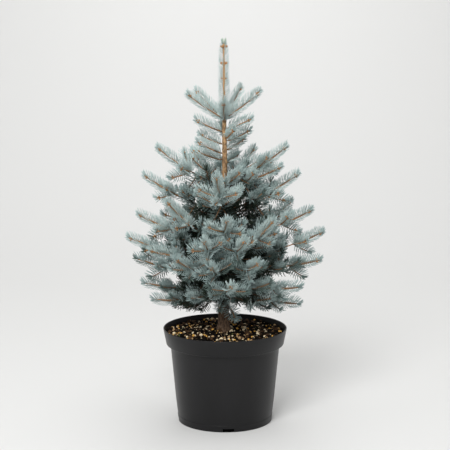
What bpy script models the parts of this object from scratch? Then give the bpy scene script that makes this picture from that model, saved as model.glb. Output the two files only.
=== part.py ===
"""Young blue spruce in a ten-litre nursery pot.

Metres, +Z up. The origin is at the centre of the pot's flat underside and -Y
is the front. Azimuths are in degrees, anticlockwise from +X seen from above.

The trunk stays whole from the soil to the foot of the leader. Boughs leave it
in whorls. Each bough follows one quadratic Bezier curve, and it bears pairs of
side shoots at its yearly nodes. A long bough is a bare limb as far as its
needles begin; a short one is all needles and starts at the trunk.
"""
import math

import bmesh
import bpy
import numpy as np
from mathutils import Vector

# ---------------------------------------------------------------- pot and soil
GAP = 0.0003                # clear space left between touching pieces
POT_HEIGHT = 0.2168
POT_WALL = 0.0024
POT_FLOOR = 0.0030
RIM_RADIUS = 0.1414
RIM_ROUND = 0.0012
LIP_SLOPE = 0.0010          # fall of the lip's underside from its edge to the wall
LIP_DEPTH = 0.0368
LIP_FOOT_RADIUS = 0.1340
BODY_TOP_RADIUS = 0.1252
BODY_LOW_RADIUS = 0.1130
BODY_LOW_HEIGHT = 0.0500
LEDGE_RADIUS = 0.1086
LEDGE_HEIGHT = 0.0150
LEDGE_STEP = 0.0007
FOOT_RADIUS = 0.1074
FOOT_ROUND = 0.0008
TURN_STEPS = 36             # flats round the pot and the soil in it
NOTCH_COUNT = 4
NOTCH_WIDTH = 0.0260
NOTCH_HEIGHT = 0.0080
NOTCH_DEPTH = 0.0060
NOTCH_TURN = 4.0            # degrees that the notches are turned from the axes

SOIL_EDGE_HEIGHT = 0.2020
SOIL_MOUND_HEIGHT = 0.2085
SOIL_SEAT_RADIUS = 0.0230   # level ground under the trunk's foot
SOIL_RINGS = 5              # rings of its slope from there to the pot
SOIL_HOLLOW = 1.3           # above 1 the slope is hollow, as a low mound's is
SOIL_SHOULDER = 0.0004      # clear space over the step in the pot's wall
CLOD_HEIGHT = 0.0026        # most that the waves which stand for clods rise
CLOD_FADE = 0.5             # below 1 they keep their height nearer to the trunk and the wall
# Each wave: radians for each metre along X and along Y, then its phase.
CLOD_WAVES = ((150.0, 60.0, 1.3), (-70.0, 160.0, 0.4), (120.0, -130.0, 2.0))

# --------------------------------------------------------------------- trunk
TRUNK_TOP = 0.6870
TRUNK_FOOT_RADIUS = 0.0155
TRUNK_TOP_RADIUS = 0.0046
TRUNK_TAPER = 0.45          # below 1 the stem thins fastest near its foot
FLARE_RADIUS = 0.0022       # added at the very foot
FLARE_HEIGHT = 0.0110       # height over which the flare fades to a third
TREE_SHIFT = -0.0030        # the plant stands a little to the left in its pot
TRUNK_POINTS = 13
TRUNK_POINT_CROWDING = 1.7  # the points stand closer together near the foot
TRUNK_BOW = 0.0024          # how far the stem's middle stands out to the right
TRUNK_BOW_BACK = -0.6       # share of that, and its sign, from front to back
TRUNK_RESOLUTION = 3        # of a tube: 3 gives sixteen sides, 1 gives eight, 0 gives four
LIMB_RESOLUTION = 1
STEM_RESOLUTION = 0
WELD = 0.000001             # points of a tube that lie closer than this are one
TURN_WELD = 0.00001         # and those of a turned solid

# ------------------------------------------------------- boughs and their needles
LEADER_TIP = 0.8600
LEADER_NEEDLES = 0.7040     # height at which the leader's own needles begin
LIMB_REACH = 0.2000         # a bough that reaches further has a bare limb
LIMB_SHARE = 0.24           # share of such a bough that is bare limb
SAG = 0.17                  # of a bough's middle point, for each metre that it climbs
BEND = 0.05                 # most that it bends sideways, as a share of its reach
CURVE_STEPS = 40
WAY_STEP = 0.0020           # half the distance over which a bough's direction is taken
WHORL_STAGGER = 0.0035      # neighbours in a whorl leave the stem by turns above and below
STEM_RADIUS = 0.0011        # of a bough, at the foot of its last shoot
STEM_TAPER = 0.0130         # radius gained for each metre towards the trunk
SHOOT_LENGTH = 0.0800       # last shoot of a bough in full light
SHADE_VIGOUR = 0.72         # share of that length which a bough at the soil would have
LIGHT_VIGOUR = 0.42         # and what it gains up to the leader's foot
SINGLE_LENGTH = 0.0950      # a shorter bough is one shoot with no side shoots
SINGLE_FOOT = 0.22          # share of its length that is left to its stem
NODE_SPACING = 0.0460
MOST_NODES = 3
BARE_SHARE = 0.22           # share of a bough, by the trunk, without side shoots
SIDE_ANGLE = 57.0           # between a side shoot and its bough, degrees
ANGLE_SPREAD = 7.0
SIDE_TILT = 0.50            # how far a side shoot stands out of the bough's flat plane
SIDE_RATIO = 0.66           # side shoot's length over that of the last shoot
NODE_GAIN = 0.16            # by which side shoots are longer at each older node
UP_RATIO = 0.56             # length of an upper shoot over that of the last shoot
UP_WAYS = (0.75, 0.65, 0.30)  # its shares onwards, upwards, and sideways at most
UNDER_RATIO = 0.56          # the same for an under shoot
UNDER_WAYS = (0.60, -0.65, 0.25)
UNDER_LIGHT = 0.20          # boughs in less light than this have no under shoot
SHOOT_LIFT = 0.30           # how far a side shoot in full light turns up
SHOOT_DROOP = 0.04          # how far one at the soil hangs
LAST_SPREAD = (0.94, 1.08)  # least and most of a length, over its mean
SIDE_SPREAD = (0.86, 1.12)
NODE_SPREAD = (0.92, 1.10)
STANDING_SPREAD = (0.85, 1.10)
NEEDLE_LENGTH = 0.0210
NEEDLE_LEAN = 44.0          # between a needle and its shoot, degrees
RING_SPACING = 0.0275       # between the rings of teeth that stand for needles
LEAST_RINGS = 2
TOOTH_SIDES = 3             # teeth in a ring
TOOTH_TWIST = 100.0         # turn of the rings from a shoot's foot to its end, degrees
TOOTH_ROLL = 47.0           # turn of the rings from one shoot to the next, degrees
TOOTH_RADIUS = 0.0018       # room that a tooth is given round its middle and its two edges
TOOTH_CLAIM = 0.6           # share of that room which it then holds
END_TEETH = 0.62            # share of full length that the teeth at a shoot's end have
TOOTH_GROWTH = 1.6          # and what they gain for each shoot's length away from it
CORE_RADIUS = 0.0026        # of the close inner needles of a shoot
CORE_POINT = 0.1            # share of it that is left at the core's end
ROOT_OUT = 0.0030           # from a bough's middle line to the foot of a side shoot
ROOT_SINK = 0.0022          # how far a shoot's core runs back into the stem
CORE_AHEAD = 0.0130         # how far the last needles reach past the bud
CLEARANCE = 0.0010          # least space between the teeth of two masses
SAMPLES = 9                 # points of a segment at which its distance is taken
LIMB_POINTS = 4
STEM_POINTS = (3, 5)        # of a short stem and of a long one
LONG_STEM = 0.060
LEADER_STEM = 0.3           # share of the leader's shoot that its stem runs up inside
LEADER_STEM_TAPER = 0.55
LEADER_SEED = 7
SEEDS_OF_WHORL = 100        # a bough's seed is this for each whorl, plus its number
UP = np.array([0.0, 0.0, 1.0])
FRAME_HELP = np.array([0.13, 0.07, 1.0])  # a shoot's frame is square to this; none follows it

# Each whorl: height on the stem, then (azimuth, reach, height of the bud) of
# each of its boughs, in metres. Between the yearly whorls of the upper stem
# short boughs stand singly, so those rows are whorls of one or two.
TOP_WHORL = (
    0.695, ((184, 0.076, 0.745), (141, 0.077, 0.750), (358, 0.076, 0.751),
            (62, 0.078, 0.756), (270, 0.070, 0.732)))
WHORLS = (
    (0.669, ((188, 0.058, 0.690), (350, 0.058, 0.692))),
    (0.653, ((302, 0.040, 0.670), (95, 0.050, 0.676))),
    (0.641, ((168, 0.050, 0.655), (14, 0.056, 0.664))),
    (0.620, ((196, 0.056, 0.641), (40, 0.056, 0.643))),
    (0.598, ((62, 0.064, 0.606), (142, 0.073, 0.614))),
    (0.545, ((183, 0.144, 0.626), (357, 0.136, 0.629), (126, 0.120, 0.610),
             (54, 0.116, 0.614), (344, 0.128, 0.588), (303, 0.066, 0.578))),
    (0.482, ((180, 0.174, 0.563), (0, 0.163, 0.567), (264, 0.148, 0.579),
             (92, 0.160, 0.560))),
    (0.412, ((184, 0.188, 0.477), (356, 0.193, 0.487), (34, 0.186, 0.490),
             (272, 0.180, 0.490), (212, 0.144, 0.513), (138, 0.186, 0.492))),
    (0.370, ((182, 0.211, 0.424), (208, 0.180, 0.408), (0, 0.219, 0.435),
             (258, 0.200, 0.448), (82, 0.205, 0.440), (309, 0.168, 0.480),
             (284, 0.185, 0.446))),
    (0.338, ((186, 0.195, 0.379), (354, 0.213, 0.376), (292, 0.196, 0.398),
             (48, 0.200, 0.392), (122, 0.200, 0.390), (262, 0.195, 0.391),
             (238, 0.190, 0.401))),
    (0.303, ((180, 0.178, 0.319), (340, 0.178, 0.322), (275, 0.200, 0.352),
             (78, 0.186, 0.330), (306, 0.170, 0.347), (263, 0.080, 0.276),
             (235, 0.128, 0.307))),
    (0.282, ((192, 0.158, 0.288), (2, 0.168, 0.270), (325, 0.130, 0.300),
             (148, 0.150, 0.284), (298, 0.054, 0.248))),
)

COLOURS = {
    "pot": ((0.0100, 0.0100, 0.0105), 0.48),
    "soil": ((0.030, 0.019, 0.011), 0.95),
    "wood": ((0.240, 0.145, 0.080), 0.85),
    "needles": ((0.420, 0.520, 0.500), 0.60),
}


# ------------------------------------------------------------------ Blender work
def clear_scene():
    for old in list(bpy.data.objects):
        bpy.data.objects.remove(old, do_unlink=True)


def new_collection(name):
    collection = bpy.data.collections.new(name)
    bpy.context.scene.collection.children.link(collection)
    return collection


def finish_of(name, kind):
    """One Principled material for one node."""
    colour, roughness = COLOURS[kind]
    material = bpy.data.materials.new(name + "_finish")
    material.use_nodes = True
    shader = material.node_tree.nodes["Principled BSDF"]
    shader.inputs["Base Color"].default_value = (*colour, 1.0)
    shader.inputs["Roughness"].default_value = roughness
    shader.inputs["Metallic"].default_value = 0.0
    return material


def add_object(name, mesh, collection):
    obj = bpy.data.objects.new(name, mesh)
    collection.objects.link(obj)
    return obj


def bake_modifiers(obj):
    """Replace an object's mesh with its evaluated one."""
    bpy.context.view_layer.update()
    evaluated = obj.evaluated_get(bpy.context.evaluated_depsgraph_get())
    mesh = bpy.data.meshes.new_from_object(evaluated)
    obj.modifiers.clear()
    obj.data = mesh


def turned(name, profile, steps, collection):
    """A solid of revolution: the (radius, height) profile under a Screw."""
    shape = bmesh.new()
    verts = [shape.verts.new((radius, 0.0, height)) for radius, height in profile]
    for first, second in zip(verts, verts[1:]):
        shape.edges.new((first, second))
    mesh = bpy.data.meshes.new(name)
    shape.to_mesh(mesh)
    shape.free()
    obj = add_object(name, mesh, collection)
    screw = obj.modifiers.new("turn", "SCREW")
    screw.steps = steps
    screw.render_steps = steps
    screw.use_merge_vertices = True
    screw.merge_threshold = TURN_WELD
    screw.use_smooth_shade = False
    return obj


def tapered_tube(name, points, radii, resolution, collection):
    """A tube along points whose radius is given at each, as a closed mesh."""
    curve = bpy.data.curves.new(name, "CURVE")
    curve.dimensions = "3D"
    curve.bevel_depth = 1.0
    curve.bevel_resolution = resolution
    curve.use_fill_caps = True
    spline = curve.splines.new("POLY")
    spline.points.add(len(points) - 1)
    for place, point, radius in zip(spline.points, points, radii):
        place.co = (*point, 1.0)
        place.radius = radius
    guide = add_object(name + "_guide", curve, collection)
    bpy.context.view_layer.update()
    evaluated = guide.evaluated_get(bpy.context.evaluated_depsgraph_get())
    mesh = bpy.data.meshes.new_from_object(evaluated)
    bpy.data.objects.remove(guide, do_unlink=True)
    bpy.data.curves.remove(curve)
    shape = bmesh.new()
    shape.from_mesh(mesh)
    bmesh.ops.remove_doubles(shape, verts=shape.verts, dist=WELD)
    bmesh.ops.recalc_face_normals(shape, faces=shape.faces)
    shape.to_mesh(mesh)
    shape.free()
    return add_object(name, mesh, collection)


def join_by_union(obj, operands):
    """Fuse every object of a collection to obj, then remove them."""
    union = obj.modifiers.new("fuse", "BOOLEAN")
    union.operation = "UNION"
    union.operand_type = "COLLECTION"
    union.collection = operands
    union.solver = "EXACT"
    bake_modifiers(obj)
    for used in list(operands.objects):
        bpy.data.objects.remove(used, do_unlink=True)
    bpy.data.collections.remove(operands)


# ----------------------------------------------------------- how the plant grows
def flat_way(azimuth):
    angle = math.radians(azimuth)
    return np.array([math.cos(angle), math.sin(angle), 0.0])


def trunk_centre(height):
    """The stem bows a little to one side, and is upright at both ends."""
    share = (height - SOIL_MOUND_HEIGHT) / (LEADER_TIP - SOIL_MOUND_HEIGHT)
    bow = TRUNK_BOW * math.sin(math.pi * share) ** 2
    return np.array([TREE_SHIFT + bow, TRUNK_BOW_BACK * bow, height])


def trunk_radius(height):
    """An even taper, with a flare that fades away above the soil."""
    rise = height - SOIL_MOUND_HEIGHT
    share = rise / (TRUNK_TOP - SOIL_MOUND_HEIGHT)
    taper = TRUNK_FOOT_RADIUS + (TRUNK_TOP_RADIUS - TRUNK_FOOT_RADIUS) * share ** TRUNK_TAPER
    return taper + FLARE_RADIUS * math.exp(-rise / FLARE_HEIGHT)


def unit(vector):
    return vector / np.linalg.norm(vector)


def stem_radius(rest):
    """Radius of a bough where a given length of it is still to come."""
    return STEM_RADIUS + STEM_TAPER * max(rest - SHOOT_LENGTH, 0.0)


def bud_place(azimuth, reach, bud_height):
    """Where a bough's bud stands, its reach taken from the stem."""
    return flat_way(azimuth) * reach + np.array([TREE_SHIFT, 0.0, bud_height])


def bough_curve(height, azimuth, reach, bud_height, bend):
    """A quadratic Bezier from the trunk's bark to the bud, and its length.

    The control point lies half-way out, a little under the straight line, so
    a bough that climbs leaves the trunk flatter than it ends.
    """
    out = flat_way(azimuth)
    side = np.array([-out[1], out[0], 0.0])
    sag = SAG * (bud_height - height)
    slope = math.atan2((bud_height - height) / 2.0 - sag, reach / 2.0)
    clear = GAP + stem_radius(reach) * abs(math.sin(slope))
    start = trunk_centre(height) + out * (trunk_radius(height) + clear)
    end = bud_place(azimuth, reach, bud_height)
    middle = (start + end) / 2.0 + side * bend * reach - np.array([0.0, 0.0, sag])
    share = np.linspace(0.0, 1.0, CURVE_STEPS + 1)[:, None]
    line = (1 - share) ** 2 * start + 2 * share * (1 - share) * middle + share ** 2 * end
    steps = np.linalg.norm(np.diff(line, axis=0), axis=1)
    return line, np.concatenate([[0.0], np.cumsum(steps)])


def along(line, run, distance):
    """The point at a distance along a line, and the line's direction there."""
    point = np.array([np.interp(distance, run, line[:, axis]) for axis in range(3)])
    before = np.array([np.interp(distance - WAY_STEP, run, line[:, axis]) for axis in range(3)])
    after = np.array([np.interp(distance + WAY_STEP, run, line[:, axis]) for axis in range(3)])
    return point, unit(after - before)


def light_at(height):
    """How well lit the crown is at a height: none at the soil, full at the leader's foot."""
    return (height - SOIL_MOUND_HEIGHT) / (TRUNK_TOP - SOIL_MOUND_HEIGHT)


def standing_shoot(root, way, ways, length, draw):
    """A shoot out of the bough's flat plane, as a (root, tip) pair."""
    onwards, upwards, sideways = ways
    side = unit(np.cross(UP, way))
    above = unit(np.cross(way, side))
    sideways = draw.uniform(-sideways, sideways)
    heading = unit(way * onwards + above * upwards + side * sideways)
    return root + heading * ROOT_OUT, root + heading * length * draw.uniform(*STANDING_SPREAD)


def side_shoots(line, run, seed):
    """Shoots that a bough bears: (root, tip) pairs, the last shoot first.

    Each yearly node has a pair of side shoots near the bough's own flat plane.
    The second node has one more on top, and the first one below if it is well lit.
    """
    draw = np.random.default_rng(seed)
    length = run[-1]
    if length < SINGLE_LENGTH:
        return [(along(line, run, SINGLE_FOOT * length)[0], line[-1])]
    light = light_at(line[0][2])
    last = SHOOT_LENGTH * (SHADE_VIGOUR + LIGHT_VIGOUR * light) * draw.uniform(*LAST_SPREAD)
    lift = UP * (SHOOT_LIFT * light - SHOOT_DROOP)
    shoots = [(along(line, run, length - last)[0], line[-1])]
    node = length - last
    order = 0
    while node > BARE_SHARE * length and order < MOST_NODES:
        root, way = along(line, run, node)
        side = unit(np.cross(UP, way))
        above = unit(np.cross(way, side))
        for sign in (-1.0, 1.0):
            angle = math.radians(SIDE_ANGLE + draw.uniform(-ANGLE_SPREAD, ANGLE_SPREAD))
            tilt = draw.uniform(-SIDE_TILT, SIDE_TILT)
            outward = unit(side * sign + above * tilt)
            heading = unit(way * math.cos(angle) + outward * math.sin(angle) + lift)
            size = last * SIDE_RATIO * (1.0 + NODE_GAIN * order) * draw.uniform(*SIDE_SPREAD)
            shoots.append((root + heading * ROOT_OUT, root + heading * size))
        if order == 1:
            shoots.append(standing_shoot(root, way, UP_WAYS, last * UP_RATIO, draw))
        node -= NODE_SPACING * draw.uniform(*NODE_SPREAD)
        order += 1
    if light > UNDER_LIGHT:
        root, way = along(line, run, length - last)
        shoots.append(standing_shoot(root, way, UNDER_WAYS, last * UNDER_RATIO, draw))
    return shoots


def shoot_frame(root, tip):
    """Direction of a shoot and two directions square to it."""
    way = unit(tip - root)
    side = unit(np.cross(way, FRAME_HELP))
    return way, side, np.cross(way, side)


def core_ends(root, tip):
    """Where a shoot's core starts in the stem, and its point ahead of the bud."""
    way = unit(tip - root)
    return root - way * ROOT_SINK, tip + way * CORE_AHEAD


def teeth_of(root, tip, roll):
    """Rings of teeth round a shoot: foot on the core, point, and half of the tooth's base."""
    way, side, above = shoot_frame(root, tip)
    root, end = core_ends(root, tip)
    core = np.linalg.norm(end - root)
    rings = max(LEAST_RINGS, int(round(core / RING_SPACING)))
    lean = math.radians(NEEDLE_LEAN)
    half = way * core / rings / 2.0
    teeth = []
    for ring in range(rings):
        middle = (ring + 0.5) / rings
        for number in range(TOOTH_SIDES):
            turn = math.radians(roll + 360.0 * (number + 0.5) / TOOTH_SIDES + TOOTH_TWIST * middle)
            outward = side * math.cos(turn) + above * math.sin(turn)
            heading = way * math.cos(lean) + outward * math.sin(lean)
            axis_point = root + way * core * middle
            foot = axis_point + outward * CORE_RADIUS * (1.0 - middle) / 2.0
            length = NEEDLE_LENGTH * min(1.0, END_TEETH + TOOTH_GROWTH * (1.0 - middle))
            teeth.append((foot, axis_point - half + heading * length, half))
    return teeth


# ------------------------------------------------------------- keeping to a space
def segment_distance(first, second):
    """Least distance of one segment from each of many, by sampling the one."""
    start, end = first
    starts, ends = second[:, 0], second[:, 1]
    share = np.linspace(0.0, 1.0, SAMPLES)[:, None, None]
    points = start + share * (end - start)
    way = ends - starts
    reach = np.sum((points - starts) * way, axis=2) / np.sum(way * way, axis=1)
    foot = starts + np.clip(reach, 0.0, 1.0)[..., None] * way
    return np.linalg.norm(points - foot, axis=2).min(axis=0)


class Space:
    """What has been placed so far: segments with a thickness and an owner.

    An owner is a node's name and the number of the shoot in it, or None.
    """

    def __init__(self):
        self.segments = []
        self.radii = []
        self.owners = []

    def add(self, start, end, radius, owner):
        self.segments.append((np.asarray(start, float), np.asarray(end, float)))
        self.radii.append(radius)
        self.owners.append(owner)

    def is_free(self, start, end, radius, name, number=None):
        """Whether a segment keeps clear of all but its own node, or its own shoot."""
        other = np.array([held[0] != name or (number is not None and held[1] != number)
                          for held in self.owners])
        if not other.any():
            return True
        held = np.array(self.segments)[other]
        room = segment_distance((np.asarray(start, float), np.asarray(end, float)), held)
        return bool((room > np.array(self.radii)[other] + radius + CLEARANCE).all())


# ----------------------------------------------------------------------- the parts
def pot_profile():
    """The wall from the middle of the floor up inside, over the rim and down outside."""
    lip_foot = POT_HEIGHT - LIP_DEPTH
    return [
        (0.0, POT_FLOOR),
        (FOOT_RADIUS - POT_WALL, POT_FLOOR),
        (BODY_LOW_RADIUS - POT_WALL, BODY_LOW_HEIGHT),
        (BODY_TOP_RADIUS - POT_WALL, lip_foot),
        (LIP_FOOT_RADIUS - POT_WALL, lip_foot + POT_WALL),
        (RIM_RADIUS - POT_WALL, POT_HEIGHT - RIM_ROUND / 2.0),
        (RIM_RADIUS - POT_WALL + RIM_ROUND / 2.0, POT_HEIGHT),
        (RIM_RADIUS - RIM_ROUND / 2.0, POT_HEIGHT),
        (RIM_RADIUS, POT_HEIGHT - RIM_ROUND),
        (LIP_FOOT_RADIUS, lip_foot),
        (BODY_TOP_RADIUS, lip_foot - LIP_SLOPE),
        (BODY_LOW_RADIUS, BODY_LOW_HEIGHT),
        (LEDGE_RADIUS, LEDGE_HEIGHT),
        (LEDGE_RADIUS + LEDGE_STEP, LEDGE_HEIGHT - LEDGE_STEP),
        (FOOT_RADIUS + FOOT_ROUND, FOOT_ROUND),
        (FOOT_RADIUS, 0.0),
        (0.0, 0.0),
    ]


def inner_radius(height):
    """Radius of the pot's inner wall at a height."""
    inside = pot_profile()[1:6]
    return float(np.interp(height, [z for _, z in inside], [r for r, _ in inside]))


def make_pot(parts, cutters):
    pot = turned("pot", pot_profile(), TURN_STEPS, parts)
    for index in range(NOTCH_COUNT):
        azimuth = NOTCH_TURN + 360.0 / NOTCH_COUNT * index
        shape = bmesh.new()
        bmesh.ops.create_cube(shape, size=1.0)
        mesh = bpy.data.meshes.new("drain_notch")
        shape.to_mesh(mesh)
        shape.free()
        notch = add_object("drain_notch_%d" % (index + 1), mesh, cutters)
        notch.scale = (2.0 * NOTCH_DEPTH, NOTCH_WIDTH, 2.0 * NOTCH_HEIGHT)
        notch.location = Vector(flat_way(azimuth)) * FOOT_RADIUS
        notch.rotation_euler = (0.0, 0.0, math.radians(azimuth))
        notch.hide_render = True
        notch.display_type = "WIRE"
        cut = pot.modifiers.new("drain_%d" % (index + 1), "BOOLEAN")
        cut.operation = "DIFFERENCE"
        cut.object = notch
        cut.solver = "EXACT"
    pot.data.materials.append(finish_of("pot", "pot"))
    return pot


def soil_top(radius, edge):
    """Level under the trunk, then a slope that runs out at the pot's wall."""
    share = (edge - radius) / (edge - SOIL_SEAT_RADIUS)
    return SOIL_EDGE_HEIGHT + (SOIL_MOUND_HEIGHT - SOIL_EDGE_HEIGHT) * share ** SOIL_HOLLOW


def clods(x, y, edge):
    """Waves across the soil that die out under the trunk and at the pot's wall."""
    radius = math.hypot(x, y)
    share = min(max((radius - SOIL_SEAT_RADIUS) / (edge - SOIL_SEAT_RADIUS), 0.0), 1.0)
    waves = sum(math.sin(in_x * x + in_y * y + phase) for in_x, in_y, phase in CLOD_WAVES)
    return CLOD_HEIGHT * waves / len(CLOD_WAVES) * math.sin(math.pi * share) ** CLOD_FADE


def make_soil(parts):
    lip_foot = POT_HEIGHT - LIP_DEPTH
    foot = POT_FLOOR + GAP
    edge = inner_radius(SOIL_EDGE_HEIGHT) - GAP
    rings = np.linspace(SOIL_SEAT_RADIUS, edge, SOIL_RINGS + 1)
    profile = [
        (0.0, SOIL_MOUND_HEIGHT),
        *[(radius, soil_top(radius, edge)) for radius in rings],
        (LIP_FOOT_RADIUS - POT_WALL - GAP, lip_foot + POT_WALL + SOIL_SHOULDER),
        (BODY_TOP_RADIUS - POT_WALL - GAP, lip_foot + SOIL_SHOULDER / 2.0),
        (BODY_LOW_RADIUS - POT_WALL - GAP, BODY_LOW_HEIGHT),
        (FOOT_RADIUS - POT_WALL - GAP, foot),
        (0.0, foot),
    ]
    soil = turned("soil", profile, TURN_STEPS, parts)
    bake_modifiers(soil)
    for vert in soil.data.vertices:
        if vert.co.z > SOIL_EDGE_HEIGHT:
            vert.co.z += clods(vert.co.x, vert.co.y, edge)
    soil.data.materials.append(finish_of("soil", "soil"))
    return soil


def make_trunk(parts):
    """The whole stem from a level cut on the soil to the foot of the leader."""
    foot = SOIL_MOUND_HEIGHT + GAP
    share = np.linspace(0.0, 1.0, TRUNK_POINTS) ** TRUNK_POINT_CROWDING
    heights = foot + (TRUNK_TOP - foot) * share
    points = [trunk_centre(height) for height in heights]
    points[0] = points[1] * np.array([1.0, 1.0, 0.0]) + np.array([0.0, 0.0, foot])
    radii = [trunk_radius(height) for height in heights]
    trunk = tapered_tube("trunk", points, radii, TRUNK_RESOLUTION, parts)
    trunk.data.materials.append(finish_of("trunk", "wood"))
    return points, radii


def plan_boughs():
    """Every bough of the table, with its curve, its limb's share and its shoots."""
    boughs = []
    for whorl, (height, members) in enumerate(WHORLS, start=2):
        for number, (azimuth, reach, bud_height) in enumerate(members, start=1):
            seed = SEEDS_OF_WHORL * whorl + number
            bend = np.random.default_rng(seed).uniform(-BEND, BEND)
            foot = height + WHORL_STAGGER * (-1.0) ** number
            line, run = bough_curve(foot, azimuth, reach, bud_height, bend)
            bare = LIMB_SHARE * run[-1] if reach > LIMB_REACH else 0.0
            boughs.append({
                "label": "w%d_%d" % (whorl, number),
                "seed": seed,
                "line": line,
                "run": run,
                "bare": bare,
                "shoots": side_shoots(line, run, seed),
            })
    return boughs


def tube_points(bough, start, end, count):
    """Points and radii of the part of a bough between two distances."""
    places = np.linspace(start, end, count)
    points = [along(bough["line"], bough["run"], place)[0] for place in places]
    radii = [stem_radius(bough["run"][-1] - place) for place in places]
    return points, radii


def add_run(space, points, radii, name):
    for first, second, radius in zip(points, points[1:], radii):
        space.add(first, second, radius, (name, None))


def make_limb(bough, parts, space):
    name = "bough_" + bough["label"]
    points, radii = tube_points(bough, 0.0, bough["bare"], LIMB_POINTS)
    limb = tapered_tube(name, points, radii, LIMB_RESOLUTION, parts)
    limb.data.materials.append(finish_of(name, "wood"))
    add_run(space, points, radii, name)


def reserve_stem(bough, space):
    """Claim room for a mass's stem and for its last shoot before any side shoot."""
    name = "needles_" + bough["label"]
    start = bough["bare"] + GAP if bough["bare"] else 0.0
    end = bough["run"][-1] - np.linalg.norm(np.subtract(*bough["shoots"][0]))
    count = STEM_POINTS[1] if end - start > LONG_STEM else STEM_POINTS[0]
    bough["stem"] = tube_points(bough, start, end, count)
    add_run(space, *bough["stem"], name)
    space.add(*core_ends(*bough["shoots"][0]), CORE_RADIUS, (name, 0))


def reserve_shoots(bough, space):
    """Keep the side shoots that have room for their core."""
    name = "needles_" + bough["label"]
    kept = [bough["shoots"][0]]
    for root, tip in bough["shoots"][1:]:
        start, end = core_ends(root, tip)
        if space.is_free(start, end, CORE_RADIUS, name):
            space.add(start, end, CORE_RADIUS, (name, len(kept)))
            kept.append((root, tip))
    bough["shoots"] = kept


def reserve_teeth(bough, space):
    """Keep the teeth that have room."""
    name = "needles_" + bough["label"]
    bough["teeth"] = []
    for number, (root, tip) in enumerate(bough["shoots"]):
        kept = []
        for foot, point, half in teeth_of(root, tip, shoot_roll(bough, number)):
            feet = (foot - half, foot, foot + half)
            if all(space.is_free(place, point, TOOTH_RADIUS, name, number) for place in feet):
                kept.append((foot, point))
                for place in feet:
                    space.add(place, point, TOOTH_RADIUS * TOOTH_CLAIM, (name, number))
        bough["teeth"].append(kept)


def shoot_roll(bough, number):
    """How far a shoot's rings are turned round it, in degrees."""
    return TOOTH_ROLL * (bough["seed"] + number)


def toothed_shoot(name, root, tip, roll, teeth, collection):
    """A slim three-sided cone whose faces are drawn out into teeth.

    The cone's long edges are cut into rings, the rings are twisted round the
    shoot, and the middle of each face is pulled to the point of its tooth.
    """
    way, side, above = shoot_frame(root, tip)
    root, end = core_ends(root, tip)
    length = np.linalg.norm(end - root)
    rings = max(LEAST_RINGS, int(round(length / RING_SPACING)))
    shape = bmesh.new()
    bmesh.ops.create_cone(shape, cap_ends=True, cap_tris=False, segments=TOOTH_SIDES,
                          radius1=CORE_RADIUS, radius2=CORE_RADIUS * CORE_POINT, depth=length)
    long_edges = [edge for edge in shape.edges
                  if abs(edge.verts[0].co.z - edge.verts[1].co.z) > length / 2.0]
    bmesh.ops.subdivide_edges(shape, edges=long_edges, cuts=rings - 1, use_grid_fill=True)
    shape.verts.ensure_lookup_table()
    first = math.atan2(shape.verts[0].co.y, shape.verts[0].co.x)
    for vert in shape.verts:
        share = vert.co.z / length + 0.5
        radius = math.hypot(vert.co.x, vert.co.y)
        turn = math.atan2(vert.co.y, vert.co.x) - first + math.radians(roll + TOOTH_TWIST * share)
        outward = side * math.cos(turn) + above * math.sin(turn)
        vert.co = Vector(root + way * length * share + outward * radius)
    sides = [face for face in shape.faces if len(face.verts) > 3]
    middles = bmesh.ops.poke(shape, faces=sides)["verts"]
    for foot, point in teeth:
        nearest = min(middles, key=lambda vert: (vert.co - Vector(foot)).length)
        nearest.co = Vector(point)
    mesh = bpy.data.meshes.new(name)
    shape.to_mesh(mesh)
    shape.free()
    return add_object(name, mesh, collection)


def make_mass(bough, parts):
    """Stem and toothed shoots, each a closed solid, fused into one."""
    name = "needles_" + bough["label"]
    pieces = new_collection(name + "_pieces")
    for number, ((root, tip), teeth) in enumerate(zip(bough["shoots"], bough["teeth"])):
        roll = shoot_roll(bough, number)
        toothed_shoot("shoot_%d" % (number + 1), root, tip, roll, teeth, pieces)
    mass = tapered_tube(name, *bough["stem"], STEM_RESOLUTION, parts)
    join_by_union(mass, pieces)
    mass.data.materials.append(finish_of(name, "needles"))


def plan_leader():
    """The stem's upright last shoot with the top whorl at its foot, on the trunk's top."""
    foot = trunk_centre(TRUNK_TOP) + np.array([0.0, 0.0, GAP])
    start = trunk_centre(LEADER_NEEDLES)
    tip = trunk_centre(LEADER_TIP)
    shoots = [(start, tip)]
    height, members = TOP_WHORL
    for bough in members:
        shoots.append((trunk_centre(height), bud_place(*bough)))
    points = [foot, start, start + (tip - start) * LEADER_STEM]
    radii = [TRUNK_TOP_RADIUS, TRUNK_TOP_RADIUS * LEADER_STEM_TAPER, STEM_RADIUS]
    return {"label": "leader", "seed": LEADER_SEED, "shoots": shoots, "stem": (points, radii)}


def main():
    clear_scene()
    parts = new_collection("potted_blue_spruce")
    cutters = new_collection("cutters")
    make_pot(parts, cutters)
    make_soil(parts)
    space = Space()
    add_run(space, *make_trunk(parts), "trunk")
    boughs = plan_boughs()
    leader = plan_leader()
    for bough in boughs:
        if bough["bare"]:
            make_limb(bough, parts, space)
    add_run(space, *leader["stem"], "needles_leader")
    for number, (root, tip) in enumerate(leader["shoots"]):
        space.add(*core_ends(root, tip), CORE_RADIUS, ("needles_leader", number))
    for bough in boughs:
        reserve_stem(bough, space)
    for bough in boughs:
        reserve_shoots(bough, space)
    for bough in [leader] + boughs:
        reserve_teeth(bough, space)
        make_mass(bough, parts)


main()
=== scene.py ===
"""Potted young blue spruce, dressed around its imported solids.

Metres, +Z up, -Y to the front. The boughs, twigs and needles grow by the rule
that shaped the solids, written again here and carried on to finer twigs.
"""
import math

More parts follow.
